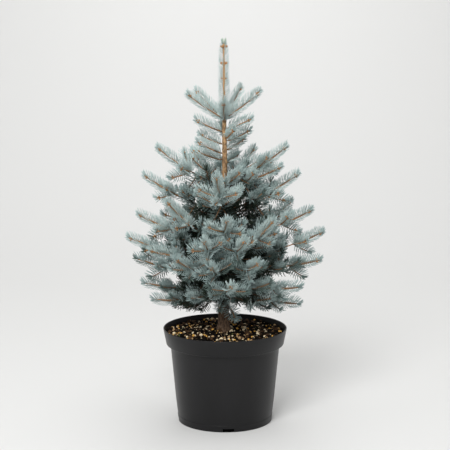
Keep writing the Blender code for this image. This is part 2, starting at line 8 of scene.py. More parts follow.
import bpy
import numpy as np
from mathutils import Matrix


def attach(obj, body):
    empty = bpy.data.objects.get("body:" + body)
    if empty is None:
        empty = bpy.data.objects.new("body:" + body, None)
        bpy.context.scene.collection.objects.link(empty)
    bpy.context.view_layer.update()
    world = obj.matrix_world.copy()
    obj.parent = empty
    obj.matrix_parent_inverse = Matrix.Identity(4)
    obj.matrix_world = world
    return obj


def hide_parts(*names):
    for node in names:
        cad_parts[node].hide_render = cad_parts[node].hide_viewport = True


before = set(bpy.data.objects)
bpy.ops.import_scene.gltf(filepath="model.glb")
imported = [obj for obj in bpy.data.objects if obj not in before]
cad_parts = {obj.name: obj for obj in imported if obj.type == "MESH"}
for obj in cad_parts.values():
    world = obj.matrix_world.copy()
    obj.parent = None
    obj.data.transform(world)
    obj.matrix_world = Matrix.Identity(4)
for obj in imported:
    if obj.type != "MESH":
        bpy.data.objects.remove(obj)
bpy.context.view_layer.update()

# ----- camera
CAMERA_PLACE = (-0.0001, -3.040, 0.944)
CAMERA_PITCH = 0.160  # radians below the horizontal

# ----- studio
FLOOR_COLOUR = (0.745, 0.745, 0.735)
FLOOR_FRONT, FLOOR_BEND, FLOOR_SIDE, FLOOR_TOP = -9.0, 1.6, 16.0, 9.0
FLOOR_CURL = 2.6  # radius of the quarter circle behind
LIGHTS = (  # name, place, target, side of the square and watts
    ("front_softbox", (-1.2, -3.9, 3.7), (0.0, 0.0, 0.5), 2.2, 214.0),
    ("top_softbox", (0.2, 0.2, 3.8), (0.0, 0.3, 0.3), 3.6, 66.0),
    ("backdrop_light", (0.0, 1.8, 3.9), (0.0, 4.0, 1.5), 1.4, 22.0),
    ("backdrop_glow", (0.0, 2.9, 2.3), (0.0, 3.65, 1.0), 0.8, 4.0),
)

# ----- pot and soil
POT_HEIGHT, POT_WALL, POT_FLOOR = 0.2168, 0.0024, 0.0030
RIM_RADIUS, LIP_DEPTH, LIP_FOOT_RADIUS = 0.1414, 0.0368, 0.1340
BODY_TOP_RADIUS, BODY_LOW_RADIUS, BODY_LOW_HEIGHT = 0.1252, 0.1130, 0.0500
LEDGE_RADIUS, LEDGE_HEIGHT, LEDGE_STEP = 0.1086, 0.0150, 0.0007
FOOT_RADIUS = 0.1074
NOTCH_COUNT, NOTCH_WIDTH, NOTCH_HEIGHT, NOTCH_DEPTH = 4, 0.0260, 0.0080, 0.0120
NOTCH_TURN = 4.0  # degrees to the middle of the first notch
NOTCH_SIDE = 0.004  # radians over which a notch's side comes in
POT_COLUMNS = 288
# black plates in the notches, painted shade: their radii, heights and steps round each
SHADE_PLATE_RADII = (0.1020, 0.1067)
SHADE_PLATE_HEIGHTS = (0.0002, 0.0078)
SHADE_PLATE_STEPS = 9
POLE_RADIUS = 0.00001  # closes a turned surface on its axis
SOIL_EDGE = 0.2020
SOIL_TOP = 0.2085
SOIL_SEAT_RADIUS = 0.0230
SOIL_HOLLOW = 1.3
CLOD_HEIGHT = 0.0026
CLOD_WAVES = ((150.0, 60.0, 1.3), (-70.0, 160.0, 0.4), (120.0, -130.0, 2.0))
SOIL_RELIEF = ((0.0040, 110.0, 40.0), (0.0030, 280.0, 80.0))  # height, cells a metre and shift
SOIL_GRID = (110, 300)
SOIL_SKIRT = 0.012  # depth of the soil's closed underside
GRAINS = (  # name, count, sizes, stretch, lift, colour, dark and roughness
    ("cream_grit", 150, (0.0022, 0.0040), 0.20, 0.80,
     (0.96, 0.82, 0.58), (0.72, 0.56, 0.34), 0.6),
    ("tan_grit", 220, (0.0016, 0.0038), 0.35, 0.65,
     (0.62, 0.42, 0.22), (0.30, 0.18, 0.09), 0.75),
    ("amber_feed", 110, (0.0024, 0.0035), 0.06, 0.95,
     (0.95, 0.54, 0.12), (0.74, 0.37, 0.07), 0.35),
    ("bark_chips", 330, (0.0020, 0.0060), 0.65, 0.30,
     (0.115, 0.062, 0.032), (0.020, 0.011, 0.006), 0.9),
    ("dark_clods", 3000, (0.0016, 0.0046), 0.40, 0.25,
     (0.0070, 0.0048, 0.0030), (0.0018, 0.0012, 0.0009), 0.95),
    ("moss_tufts", 90, (0.0018, 0.0040), 0.45, 0.25,
     (0.12, 0.13, 0.045), (0.05, 0.06, 0.02), 0.9),
)
GRAIN_CLEARANCES = (0.020, 0.003)  # from the axis, and from the pot's wall
UNEVENNESS = 0.16  # of a grain's corners
THREADS = 46
THREAD_RADIUS = 0.00042
THREAD_STRIDES = (0.0012, 0.0026)
THREAD_COLOURS = ((0.42, 0.26, 0.13), (0.25, 0.14, 0.07))
# Specular level, the noise's scale and detail, where each colour is full, and bump height.
GRAIN_FINISH = (0.12, 380.0, 3.0, 0.32, 0.66, 0.0005)
BARK_FINISH = (0.5, 420.0, 4.0, 0.30, 0.70, 0.0004)

# ----- the growing rule
TRUNK_TOP = 0.6870
TRUNK_FOOT_RADIUS = 0.0155
TRUNK_TOP_RADIUS = 0.0046
TRUNK_TAPER = 0.45
FLARE_RADIUS = 0.0022
FLARE_HEIGHT = 0.0110
TRUNK_BOW = 0.0024
LEADER_TIP = 0.8600
LEADER_NEEDLES = 0.7040
SAG = 0.17  # of a bough's middle point, for each metre that it climbs
WHORL_STAGGER = 0.0035
STEM_RADIUS = 0.0011
STEM_TAPER = 0.0130
SHOOT_LENGTH = 0.0800
SHADE_VIGOUR = 0.72
LIGHT_VIGOUR = 0.42
SINGLE_LENGTH = 0.0950
NODE_SPACING = 0.0460
MOST_NODES = 3
BARE_SHARE = 0.22
SIDE_ANGLE = 57.0
SIDE_TILT = 0.50
SIDE_RATIO = 0.66
UP_RATIO = 0.56
UP_WAYS = (0.75, 0.65, 0.30)  # onwards, upwards, and sideways at most
UNDER_RATIO = 0.56
UNDER_WAYS = (0.60, -0.65, 0.25)
UNDER_LIGHT = 0.20
SHOOT_LIFT = 0.30
SHOOT_DROOP = 0.04
ROOT_OUT = 0.0030
SHOOT_HANG = 0.035  # of a shoot's middle below its chord, over its length
TOP_WHORL = (
    0.695, ((184, 0.076, 0.745), (141, 0.077, 0.750), (358, 0.076, 0.751),
            (62, 0.078, 0.756), (270, 0.070, 0.732)))
WHORLS = (
    (0.669, ((188, 0.058, 0.690), (350, 0.058, 0.692))),
    (0.653, ((302, 0.040, 0.670), (95, 0.050, 0.676))),
    (0.641, ((168, 0.050, 0.655), (14, 0.056, 0.664))),
    (0.620, ((196, 0.056, 0.641), (40, 0.056, 0.643))),
    (0.598, ((62, 0.064, 0.606), (142, 0.073, 0.614))),
    (0.545, ((183, 0.144, 0.626), (357, 0.136, 0.629), (126, 0.120, 0.610),
             (54, 0.116, 0.614), (344, 0.128, 0.588), (303, 0.066, 0.578))),
    (0.482, ((180, 0.174, 0.563), (0, 0.163, 0.567), (264, 0.148, 0.579),
             (92, 0.160, 0.560))),
    (0.412, ((184, 0.188, 0.477), (356, 0.193, 0.487), (34, 0.186, 0.490),
             (272, 0.180, 0.490), (212, 0.144, 0.513), (138, 0.186, 0.492))),
    (0.370, ((182, 0.211, 0.424), (208, 0.180, 0.408), (0, 0.219, 0.435),
             (258, 0.200, 0.448), (82, 0.205, 0.440), (309, 0.168, 0.480),
             (284, 0.185, 0.446))),
    (0.338, ((186, 0.195, 0.379), (354, 0.213, 0.376), (292, 0.196, 0.398),
             (48, 0.200, 0.392), (122, 0.200, 0.390), (262, 0.195, 0.391),
             (238, 0.190, 0.401))),
    (0.303, ((180, 0.178, 0.319), (340, 0.178, 0.322), (275, 0.200, 0.352),
             (78, 0.186, 0.330), (306, 0.170, 0.347), (263, 0.080, 0.276),
             (235, 0.128, 0.307))),
    (0.282, ((192, 0.158, 0.288), (2, 0.168, 0.270), (325, 0.130, 0.300),
             (148, 0.150, 0.284), (298, 0.054, 0.248))),
)
UP = np.array([0.0, 0.0, 1.0])
TREE_PLACE = np.array([-0.0030, 0.0, 0.0])
SEEDS = {"tones": 77, "trunk_twigs": 61, "finer": 5000, "needles": 9000, "buds": 4000,
         "grains": 300, "threads": 88}

# A shoot's order: side shoots count up from 0 at the bough's end, a fork's is one above
# its shoot's, and the others are these.
LEADER, LAST, SHORT, TRUNK_TWIG, SHADE_TWIG = -2, -1, 2, 3, 4

# ----- finer twigs than the solids
FORKLESS = 0.80  # share of the older side shoots that don't fork again
FORK_PLACES = (0.30, 0.50)
FORK_WAYS = (0.66, 0.75, 0.12)  # onwards, outwards and upwards
FORK_SIZES = (0.46, 0.62)
HANGING_PLACES = (0.014, 0.064, 0.012)  # along a bough: first, last and step
HANGING_WAYS = (0.45, -0.75, 0.6)  # onwards, upwards, and sideways at most
HANGING_LENGTHS = (0.034, 0.050)
LOWEST_HANGING = 0.320  # lowest bough foot with hanging twigs
FINER_FOOT = 0.14  # share of a bough's length that stays bare
RISING = 0.6  # share of the short shoots that rise
SHORT_WAYS = (0.72, 0.62, 0.6)  # onwards, up or down, and sideways at most
SHORT_FALL = 0.7  # of the ones that fall, over the ones that rise
SHORT_CHANCE = 0.20
SHORT_LENGTHS = (0.026, 0.038)
SHORT_STEPS = (0.34, 0.50)  # over the node spacing
INNER_SHARE = 0.46  # of a bough, that bears weak green twigs in the shade
OPEN_CROWN = 0.46  # height above which the inner boughs are half as leafy
INNER_WAYS = (0.6, 0.7)  # onwards, and up or down at most
INNER_LENGTHS = (0.034, 0.052)
INNER_STEPS = (0.26, 0.34)  # over the node spacing
TRUNK_TWIG_HEIGHTS = (0.328, 0.565, 0.0058)  # first, last and step
TRUNK_TWIG_TURN = 137.5
TRUNK_TWIG_RISE = (0.25, 0.75)
TRUNK_TWIG_LENGTHS = (0.036, 0.058)

# ----- bark and buds
BARKS = {  # light and dark colour, and roughness
    "bud_scales": ((0.56, 0.285, 0.105), (0.34, 0.155, 0.055), 0.50),
    "young_twig_bark": ((0.44, 0.235, 0.100), (0.24, 0.120, 0.050), 0.62),
    "shaded_twig_bark": ((0.36, 0.20, 0.10), (0.19, 0.11, 0.055), 0.62),
    "bough_bark": ((0.17, 0.095, 0.052), (0.075, 0.045, 0.028), 0.80),
    "leader_bark": ((0.62, 0.375, 0.165), (0.36, 0.19, 0.075), 0.62),
}
TRUNK_STOPS = (  # share of the way from 0.20 m to 0.70 m, and colour
    (0.0, (0.225, 0.142, 0.088)), (0.16, (0.19, 0.115, 0.068)), (0.34, (0.17, 0.10, 0.056)),
    (0.62, (0.36, 0.205, 0.100)), (1.0, (0.60, 0.365, 0.180)))
TRUNK_GRID = (760, 96)
TRUNK_OVERLAP = 0.004  # that the bark runs past the trunk's two ends
# Plates and cracks: share of the radius, cells round the trunk and per metre, and shift.
BARK_PLATES = ((0.16, 12.0, 240.0, 3.0), (0.08, 24.0, 480.0, 9.0))
BARK_FADE = 0.6  # how much of them is gone at the top
ROOT_SWELL = (0.16, 0.012, 4.0, 0.8)  # share, fall in height, count and turn
COLLAR = (0.10, 0.004)  # share of the radius, and half height
STEMS = {  # bark, and a shoot's radii at its foot and its tip
    "leader_stem": ("leader_bark", (0.0034, 0.0021)),
    "shaded_twigs": ("shaded_twig_bark", (0.0015, 0.0011)),
    "twigs": ("young_twig_bark", (0.0022, 0.0011)),
    "bough_limbs": ("bough_bark", (0.0015, 0.0011)),
}
TWIG_RINGS, TWIG_SIDES = 6, 6
BOUGH_RINGS = 44
BOUGH_ROOT = 0.002  # that a bough starts inside the trunk
BARK_DEPTH = 0.0002  # over a bough's wood
BOUGH_SIDES = (9, 8)  # of the bough's inner part and of its young end
YOUNG_PART = (0.62, 0.085)  # of a bough: at most this share, and this length
KNOBS = (0.10, 900.0, 270.0)  # share of the radius, and two waves in radians a metre
BUD_SIZES = ((0.0042, 0.0036), (0.0062, 0.0052))  # end and side buds: on fine twigs, on others
BUD_DEPTHS = (0.0005, 0.003)  # below a twig's tip: end bud, and side buds
SIDE_BUDS = (3, 0.0010, 0.7)  # how many, how far out, and how far onwards they point
BUD_LIGHT = 0.08  # below the light of a young twig, that still shows buds
# Rings of buds round the leader: height, count and size.
LEADER_BUDS = ((0.853, 4, 0.0078), (0.816, 3, 0.0078), (0.783, 2, 0.0050), (0.722, 2, 0.0050))
LEADER_BUD_REACH = 0.0022
LEADER_BUD_TURNS = (200.0, 900.0)  # degrees: at height 0, and for each metre

# ----- needles
NEEDLE_LENGTH = 0.0215
NEEDLE_RADII = (0.00052, 0.00090, 0.00068)  # at the foot, the bend and the shoulder
NEEDLE_TRIANGLES = 16  # of each needle
LEADER_DENSITY = 1260.0  # needles per metre of shoot
OUTER_DENSITY = 1280.0
SINGLE_DENSITY = 1420.0
INNER_DENSITY = 850.0
TUFT_NEEDLES = 14
TUFT_DEPTH = 0.003  # of the tuft that closes round a bud
TUFT_LEAN, TUFT_CLOSING = 32.0, 27.0  # degrees: its first needles, and how far the rest close
TUFT_SIZE = 0.86
LEANS = (0.0, 0.5, 0.88, 1.0), (76.0, 72.0, 60.0, 36.0)  # places on a shoot, and degrees
LATER_LEAN = 0.74  # of a needle's outer half, over that of its inner half
LATER_RISE = 0.20
SIZES = (0.0, 0.12, 0.75, 1.0), (0.66, 1.0, 1.0, 0.88)  # places on a shoot, and share
SIDE_SIZES = (-0.8, 0.1, 0.9), (0.72, 0.96, 1.10)  # how far up they point, and share
SHORT_SHOOT = (0.045, 0.80)  # length below which needles get shorter, and their least share
# How much places, turns, leans and sizes vary.
SHARE_SPREAD, TURN_SPREAD, LEAN_SPREAD, SIZE_SPREAD = 0.002, 0.05, 2.5, 0.06
FOOT_DEPTH = 0.0006  # from the shoot's middle to a needle's foot
NEEDLE_PARTS = (0.45, 0.41, 0.14)  # of its length: to the bend, to the shoulder and to the point
PARTING = 0.24  # how strongly needles are combed away from a shoot's sides
UPWARD_LEAN = 0.32  # how far needles turn up towards the light
SINGLE_RISE = 1.5  # that of unbranched boughs over the others
LEADER_NEEDLES_SHARE = 0.78  # the leader's needles over those of the boughs
TURN_STEP = 60.7  # from one needle to the next: six rows that twist slowly
# Lit and shaded copies of the needles' colour, frosted to deep: partly the real wax, thinner in
# the shade, and partly painted shade for needles deeper in the crown. tip_green is the leader's
# fresh tuft.
LIT_TO_SHADED_NEEDLE_TONES = {
    "tip_green": (0.47, 0.575, 0.475),
    "frosted": (0.545, 0.655, 0.636),
    "pale": (0.445, 0.553, 0.541),
    "blue": (0.350, 0.449, 0.438),
    "slate": (0.136, 0.190, 0.172),
    "deep": (0.028, 0.042, 0.027),
}
NEEDLE_WAX = (0.50, 0.35)  # roughness and specular level
# least light for each tone; less light gives the darker tones, which are painted shade
TONE_LIGHT = (("frosted", 1.17), ("pale", 0.96), ("blue", 0.78), ("slate", 0.67))
TONE_ORDER = ("frosted", "pale", "blue", "slate", "deep")
TONE_SPREAD = 0.34
SHADED_UNDERSIDE = -0.15  # needles that point lower than this are one tone darker, as painted shade on the shoot's underside
CROWN_FOOT = 0.280
LIGHT_WITH_HEIGHT = 0.52
HIGH_ENOUGH = 0.72  # share of the crown's height above which it gains no more
INNER_LIGHT = 0.62  # most light that a weak inner twig gets, in the lowest whorl
INNER_REACH = 0.055  # from the trunk, beyond which such twigs gain light
OUTER_GAIN = 0.30
OUTER_CROWN = 0.115  # beyond this from the trunk no shoot is in deep shade
OUTER_LEAST = 0.84
SHADE_REACH = 0.065  # distance at which a shoot's shade on another falls to a third
SHADE_RISE = 0.75  # how steeply the light comes down, over how far it comes from outside
LAST_SHOOT_LIGHT = 0.06
BRIGHT_TRUNK = 0.500  # height below which the twigs on the trunk are in shade
TRUNK_TWIG_LIGHT = 0.60  # share of the light that those keep
LEADER_LIGHT = 0.87
FLOOR_LIT = 0.335  # below this height a shoot's needles are painted lighter, as if lit by the pale floor
PAINTED_FLOOR_LIGHT = 1.03
YOUNG_TWIG_LIGHT = 1.12  # twigs in more light than this are orange
OLD_TWIG_LIGHT = 0.60  # twigs in less light than this have grey bark
PIECE_TRIANGLES = 190000  # most in one piece


# ----- mesh helpers
def new_object(name, data):
    """An object at the origin, linked into the scene."""
    made = bpy.data.objects.new(name, data)
    bpy.context.scene.collection.objects.link(made)
    return made


def mesh_object(name, points, faces, material, smooth=True):
    """A mesh object from an (n, 3) array of points and an (m, 3 or 4) array of faces."""
    sides = faces.shape[1]
    mesh = bpy.data.meshes.new(name)
    mesh.vertices.add(len(points))
    mesh.vertices.foreach_set("co", np.asarray(points, np.float32).ravel())
    mesh.loops.add(faces.size)
    mesh.loops.foreach_set("vertex_index", np.asarray(faces, np.int32).ravel())
    mesh.polygons.add(len(faces))
    mesh.polygons.foreach_set("loop_start", np.arange(0, faces.size, sides, dtype=np.int32))
    mesh.update(calc_edges=True)
    mesh.validate()
    mesh.polygons.foreach_set("use_smooth", np.full(len(mesh.polygons), smooth))
    mesh.materials.append(material)
    return new_object(name, mesh)


def make_piece(name, points, faces, material, smooth=True):
    """A mesh object that belongs to the plant or its pot."""
    piece = mesh_object(name, points, faces, material, smooth)
    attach(piece, "root")
    return piece


def joined(parts):
    """Many (points, faces) pairs as one."""
    points = np.concatenate([part[0] for part in parts])
    shifts = np.cumsum([0] + [len(part[0]) for part in parts[:-1]])
    faces = np.concatenate([part[1] + shift for part, shift in zip(parts, shifts)])
    return points, faces


def grid_faces(rows, columns, wrap):
    """Four-sided faces of a rows by columns grid, closed round its columns if it wraps."""
    row, column = np.meshgrid(np.arange(rows - 1), np.arange(columns if wrap else columns - 1),
                              indexing="ij")
    following = (column + 1) % columns
    corners = [row * columns + column, row * columns + following,
               (row + 1) * columns + following, (row + 1) * columns + column]
    return np.stack([corner.ravel() for corner in corners], axis=1)


def repeated(points, faces):
    """Many like shapes as one, from an (n, k, 3) array of points and the faces of each."""
    faces = faces[None] + points.shape[1] * np.arange(len(points))[:, None, None]
    return points.reshape(-1, 3), faces.reshape(-1, faces.shape[-1])


def unit(vectors):
    return vectors / np.linalg.norm(vectors, axis=-1, keepdims=True)


def square_to(ways):
    """Two directions square to each of many unit directions and to each other."""
    helper = np.where(np.abs(ways[..., 2:3]) < 0.9, UP, np.array([1.0, 0.0, 0.0]))
    side = unit(np.cross(helper, ways))
    return side, np.cross(ways, side)


def full_turn(steps):
    return np.linspace(0, 2 * np.pi, steps, endpoint=False)


def around_axis(radius, turn, height):
    """Points at the given radius, turn in radians and height."""
    x, y = radius * np.cos(turn), radius * np.sin(turn)
    return np.stack(np.broadcast_arrays(x, y, height), axis=-1)


def rings(ways, turns):
    """For each way, unit vectors square to it at the given turns."""
    side, above = square_to(ways)
    turns = turns[None, :, None]
    return side[:, None] * np.cos(turns) + above[:, None] * np.sin(turns)


def tube(points, radii, sides):
    """A tube: a circle of the given radius square to the path at each of its points.

    Each end is closed by a ring drawn in to a hundredth of the radius.
    """
    points = np.concatenate([points[:1], points, points[-1:]])
    radii = np.concatenate([radii[:1] * 0.01, radii, radii[-1:] * 0.01])
    ways = np.gradient(points, axis=0)
    ways[np.linalg.norm(ways, axis=1) < 1e-9] = points[-1] - points[0]
    surface = points[:, None] + rings(unit(ways), full_turn(sides)) * radii[:, None, None]
    return surface.reshape(-1, 3), grid_faces(len(points), sides, True)


def hashed(x, y):
    """A repeatable number between 0 and 1 for each place."""
    return np.modf(np.abs(np.sin(x * 12.9898 + y * 78.233) * 43758.5453))[0]


def value_noise(x, y):
    """Smooth noise: hashed corner values of a unit lattice, blended by a smooth step."""
    cell_x, cell_y = np.floor(x), np.floor(y)
    part_x, part_y = [part * part * (3.0 - 2.0 * part) for part in (x - cell_x, y - cell_y)]
    low, high = [hashed(cell_x, row) * (1 - part_x) + hashed(cell_x + 1, row) * part_x
                 for row in (cell_y, cell_y + 1)]
    return low * (1 - part_y) + high * part_y


# ----- material helpers
def new_material(name, colour, roughness, specular=0.5):
    material = bpy.data.materials.new(name)
    material.use_nodes = True
    shader = material.node_tree.nodes["Principled BSDF"]
    shader.inputs["Base Color"].default_value = (*colour, 1.0)
    shader.inputs["Roughness"].default_value = roughness
    shader.inputs["Specular IOR Level"].default_value = specular
    return material, material.node_tree, shader


def noise_on_object(tree, scale, detail, stretch=(1.0, 1.0, 1.0)):
    """Noise on Object coordinates, stretched by a Mapping node."""
    coordinates = tree.nodes.new("ShaderNodeTexCoord")
    mapping = tree.nodes.new("ShaderNodeMapping")
    mapping.inputs["Scale"].default_value = stretch
    noise = tree.nodes.new("ShaderNodeTexNoise")
    noise.inputs["Scale"].default_value = scale
    noise.inputs["Detail"].default_value = detail
    tree.links.new(coordinates.outputs["Object"], mapping.inputs["Vector"])
    tree.links.new(mapping.outputs["Vector"], noise.inputs["Vector"])
    return noise.outputs["Fac"]


def colour_ramp(tree, factor, stops):
    """The colour that (place, colour) stops give a factor."""
    ramp = tree.nodes.new("ShaderNodeValToRGB")
    elements = ramp.color_ramp.elements
    while len(elements) < len(stops):
        elements.new(0.5)
    for element, (place, colour) in zip(elements, stops):
        element.position = place
        element.color = (*colour, 1.0)
    tree.links.new(factor, ramp.inputs["Fac"])
    return ramp.outputs["Color"]


def colour_between(tree, shader, factor, stops):
    tree.links.new(colour_ramp(tree, factor, stops), shader.inputs["Base Color"])


def mapped(tree, value, ends):
    """A value on a new scale, with the ends that aren't 0 and 1 given by socket."""
    node = tree.nodes.new("ShaderNodeMapRange")
    for socket, end in ends.items():
        node.inputs[socket].default_value = end
    tree.links.new(value, node.inputs["Value"])
    return node.outputs["Result"]


def add_bump(tree, shader, height, strength, distance):
    bump = tree.nodes.new("ShaderNodeBump")
    bump.inputs["Strength"].default_value = strength
    bump.inputs["Distance"].default_value = distance
    tree.links.new(height, bump.inputs["Height"])
    tree.links.new(bump.outputs["Normal"], shader.inputs["Normal"])


def noisy_material(name, stops, roughness, specular, noise, bump):
    """Colours in fine mottling, with bumps to match."""
    material, tree, shader = new_material(name, stops[-1][1], roughness, specular)
    mottle = noise_on_object(tree, *noise)
    colour_between(tree, shader, mottle, stops)
    add_bump(tree, shader, mottle, *bump)
    return material


def mottled(name, colour, dark, roughness, finish):
    """The same with two colours and one of the two finishes."""
    specular, scale, detail, dark_end, light_end, height = finish
    stops = ((dark_end, dark), (light_end, colour))
    return noisy_material(name, stops, roughness, specular, (scale, detail), (0.5, height))


def twig_bark(name):
    return mottled(name, *BARKS[name], BARK_FINISH)


# ----- how it grows
def flat_way(azimuth):
    angle = math.radians(azimuth)
    return np.array([math.cos(angle), math.sin(angle), 0.0])


def trunk_centre(height):
    share = (height - SOIL_TOP) / (LEADER_TIP - SOIL_TOP)
    bow = TRUNK_BOW * np.sin(np.pi * share) ** 2
    return np.stack([bow, -0.6 * bow, np.asarray(height, float)], axis=-1) + TREE_PLACE


def trunk_share(height):
    """How far up the trunk a height is: 0 at the soil, 1 at the leader's foot."""
    return (height - SOIL_TOP) / (TRUNK_TOP - SOIL_TOP)


def trunk_radius(height):
    rise = np.maximum(np.asarray(height, float) - SOIL_TOP, 0.0)
    share = rise / (TRUNK_TOP - SOIL_TOP)
    taper = TRUNK_FOOT_RADIUS + (TRUNK_TOP_RADIUS - TRUNK_FOOT_RADIUS) * share ** TRUNK_TAPER
    return taper + FLARE_RADIUS * np.exp(-rise / FLARE_HEIGHT)


def stem_radius(rest):
    return STEM_RADIUS + STEM_TAPER * np.maximum(rest - SHOOT_LENGTH, 0.0)


def bough_curve(height, azimuth, reach, bud_height, bend):
    """A quadratic Bezier from the trunk's middle to the bud, sagging under its chord."""
    out = flat_way(azimuth)
    side = np.array([-out[1], out[0], 0.0])
    sag = SAG * (bud_height - height)
    start = trunk_centre(height) + out * float(trunk_radius(height))
    end = TREE_PLACE + out * reach + UP * bud_height
    middle = (start + end) / 2.0 + side * bend * reach - UP * sag
    share = np.linspace(0, 1, 41)[:, None]
    line = (1 - share) ** 2 * start + 2 * share * (1 - share) * middle + share ** 2 * end
    steps = np.linalg.norm(np.diff(line, axis=0), axis=1)
    return line, np.concatenate([[0.0], np.cumsum(steps)])


def along(line, run, distance):
    """The point at a distance along a line, and the way on from there."""
    before, point, after = [
        np.array([np.interp(place, run, line[:, axis]) for axis in range(3)])
        for place in (distance - 0.002, distance, distance + 0.002)]
    return point, unit(after - before)


def level_axes(way):
    """The level direction to the left of a way, and the one square to both."""
    side = unit(np.cross(UP, way))
    return side, unit(np.cross(way, side))


def strayed(way, upward, weights, draw):
    """A way partly onwards, partly upward, and a random part to either side."""
    onwards, upwards, sideways = weights
    side = level_axes(way)[0]
    return unit(way * onwards + upward * upwards + side * draw.uniform(-sideways, sideways))


def standing_shoot(root, way, weights, length, draw):
    """A shoot out of the bough's flat plane, as a root and a tip."""
    heading = strayed(way, level_axes(way)[1], weights, draw)
    return root + heading * ROOT_OUT, root + heading * length * draw.uniform(0.85, 1.1)


def side_shoots(line, run, seed):
    """The solids' rule: (root, tip, order) of a bough's last shoot and its side shoots."""
    draw = np.random.default_rng(seed)
    length = run[-1]
    if length < SINGLE_LENGTH:
        return [(along(line, run, 0.06 * length)[0], line[-1], LAST)]
    light = trunk_share(line[0][2])
    last = SHOOT_LENGTH * (SHADE_VIGOUR + LIGHT_VIGOUR * light) * draw.uniform(0.94, 1.08)
    lift = UP * (SHOOT_LIFT * light - SHOOT_DROOP)
    shoots = [(along(line, run, length - last)[0], line[-1], LAST)]
    node = length - last
    order = 0
    while node > BARE_SHARE * length and order < MOST_NODES:
        root, way = along(line, run, node)
        side, above = level_axes(way)
        for sign in (-1, 1):
            angle = math.radians(SIDE_ANGLE + draw.uniform(-7.0, 7.0))
            tilt = draw.uniform(-SIDE_TILT, SIDE_TILT)
            outward = unit(side * sign + above * tilt)
            heading = unit(way * math.cos(angle) + outward * math.sin(angle) + lift)
            size = last * SIDE_RATIO * (1.0 + 0.16 * order) * draw.uniform(0.86, 1.12)
            shoots.append((root + heading * ROOT_OUT, root + heading * size, order))
        if order == 1:
            shoots.append((*standing_shoot(root, way, UP_WAYS, last * UP_RATIO, draw), order))
        node -= NODE_SPACING * draw.uniform(0.92, 1.1)
        order += 1
    if light > UNDER_LIGHT:
        root, way = along(line, run, length - last)
        shoots.append((*standing_shoot(root, way, UNDER_WAYS, last * UNDER_RATIO, draw), 0))
    return shoots


def finer_shoots(line, run, shoots, seed):
    """Finer twigs that the solids leave out.

    Some of the older side shoots fork near their middle. Weak twigs hang from
    the foot of a high bough, short shoots stand above and below the others,
    and the inner bough bears weak green ones in the shade.
    """
    draw = np.random.default_rng(SEEDS["finer"] + seed)
    finer = []
    for root, tip, order in shoots:
        if order < 1 or draw.uniform() < FORKLESS:
            continue
        way = unit(tip - root)
        size = np.linalg.norm(tip - root)
        side, above = level_axes(way)
        onwards, outwards, upwards = FORK_WAYS
        for sign in (-1, 1):
            place = root + (tip - root) * draw.uniform(*FORK_PLACES)
            outward = unit(side * sign + above * draw.uniform(-0.5, 0.6))
            heading = unit(way * onwards + outward * outwards + UP * upwards)
            finer.append((place, place + heading * size * draw.uniform(*FORK_SIZES), order + 1))
    length = run[-1]
    if length < SINGLE_LENGTH:
        return finer
    for place in np.arange(*HANGING_PLACES) if line[0][2] > LOWEST_HANGING else ():
        root, way = along(line, run, place)
        heading = strayed(way, UP, HANGING_WAYS, draw)
        finer.append((root, root + heading * draw.uniform(*HANGING_LENGTHS), SHADE_TWIG))
    place = length - SHOOT_LENGTH
    leafy = INNER_SHARE * length * (1.0 if line[0][2] < OPEN_CROWN else 0.5)
    while place > FINER_FOOT * length:
        root, way = along(line, run, place)
        side, above = level_axes(way)
        rise = 1.0 if draw.uniform() < RISING else -SHORT_FALL
        heading = strayed(way, above * rise, SHORT_WAYS, draw)
        if draw.uniform() < SHORT_CHANCE:
            finer.append((root, root + heading * draw.uniform(*SHORT_LENGTHS), SHORT))
        steps = SHORT_STEPS
        if place < leafy:
            steps = INNER_STEPS
            onwards, most = INNER_WAYS
            for sign in (-1, 1):
                tilt = draw.uniform(-most, most)
                heading = unit(way * onwards + side * sign + above * tilt)
                finer.append((root, root + heading * draw.uniform(*INNER_LENGTHS), SHADE_TWIG))
        place -= NODE_SPACING * draw.uniform(*steps)
    return finer


def trunk_twigs():
    """Weak twigs out of the trunk itself, each turned on from the one below."""
    draw = np.random.default_rng(SEEDS["trunk_twigs"])
    twigs = []
    for number, height in enumerate(np.arange(*TRUNK_TWIG_HEIGHTS)):
        out = flat_way(TRUNK_TWIG_TURN * number)
        root = trunk_centre(height) + out * float(trunk_radius(height))
        heading = unit(out + UP * draw.uniform(*TRUNK_TWIG_RISE))
        twigs.append((root, root + heading * draw.uniform(*TRUNK_TWIG_LENGTHS), TRUNK_TWIG))
    return twigs


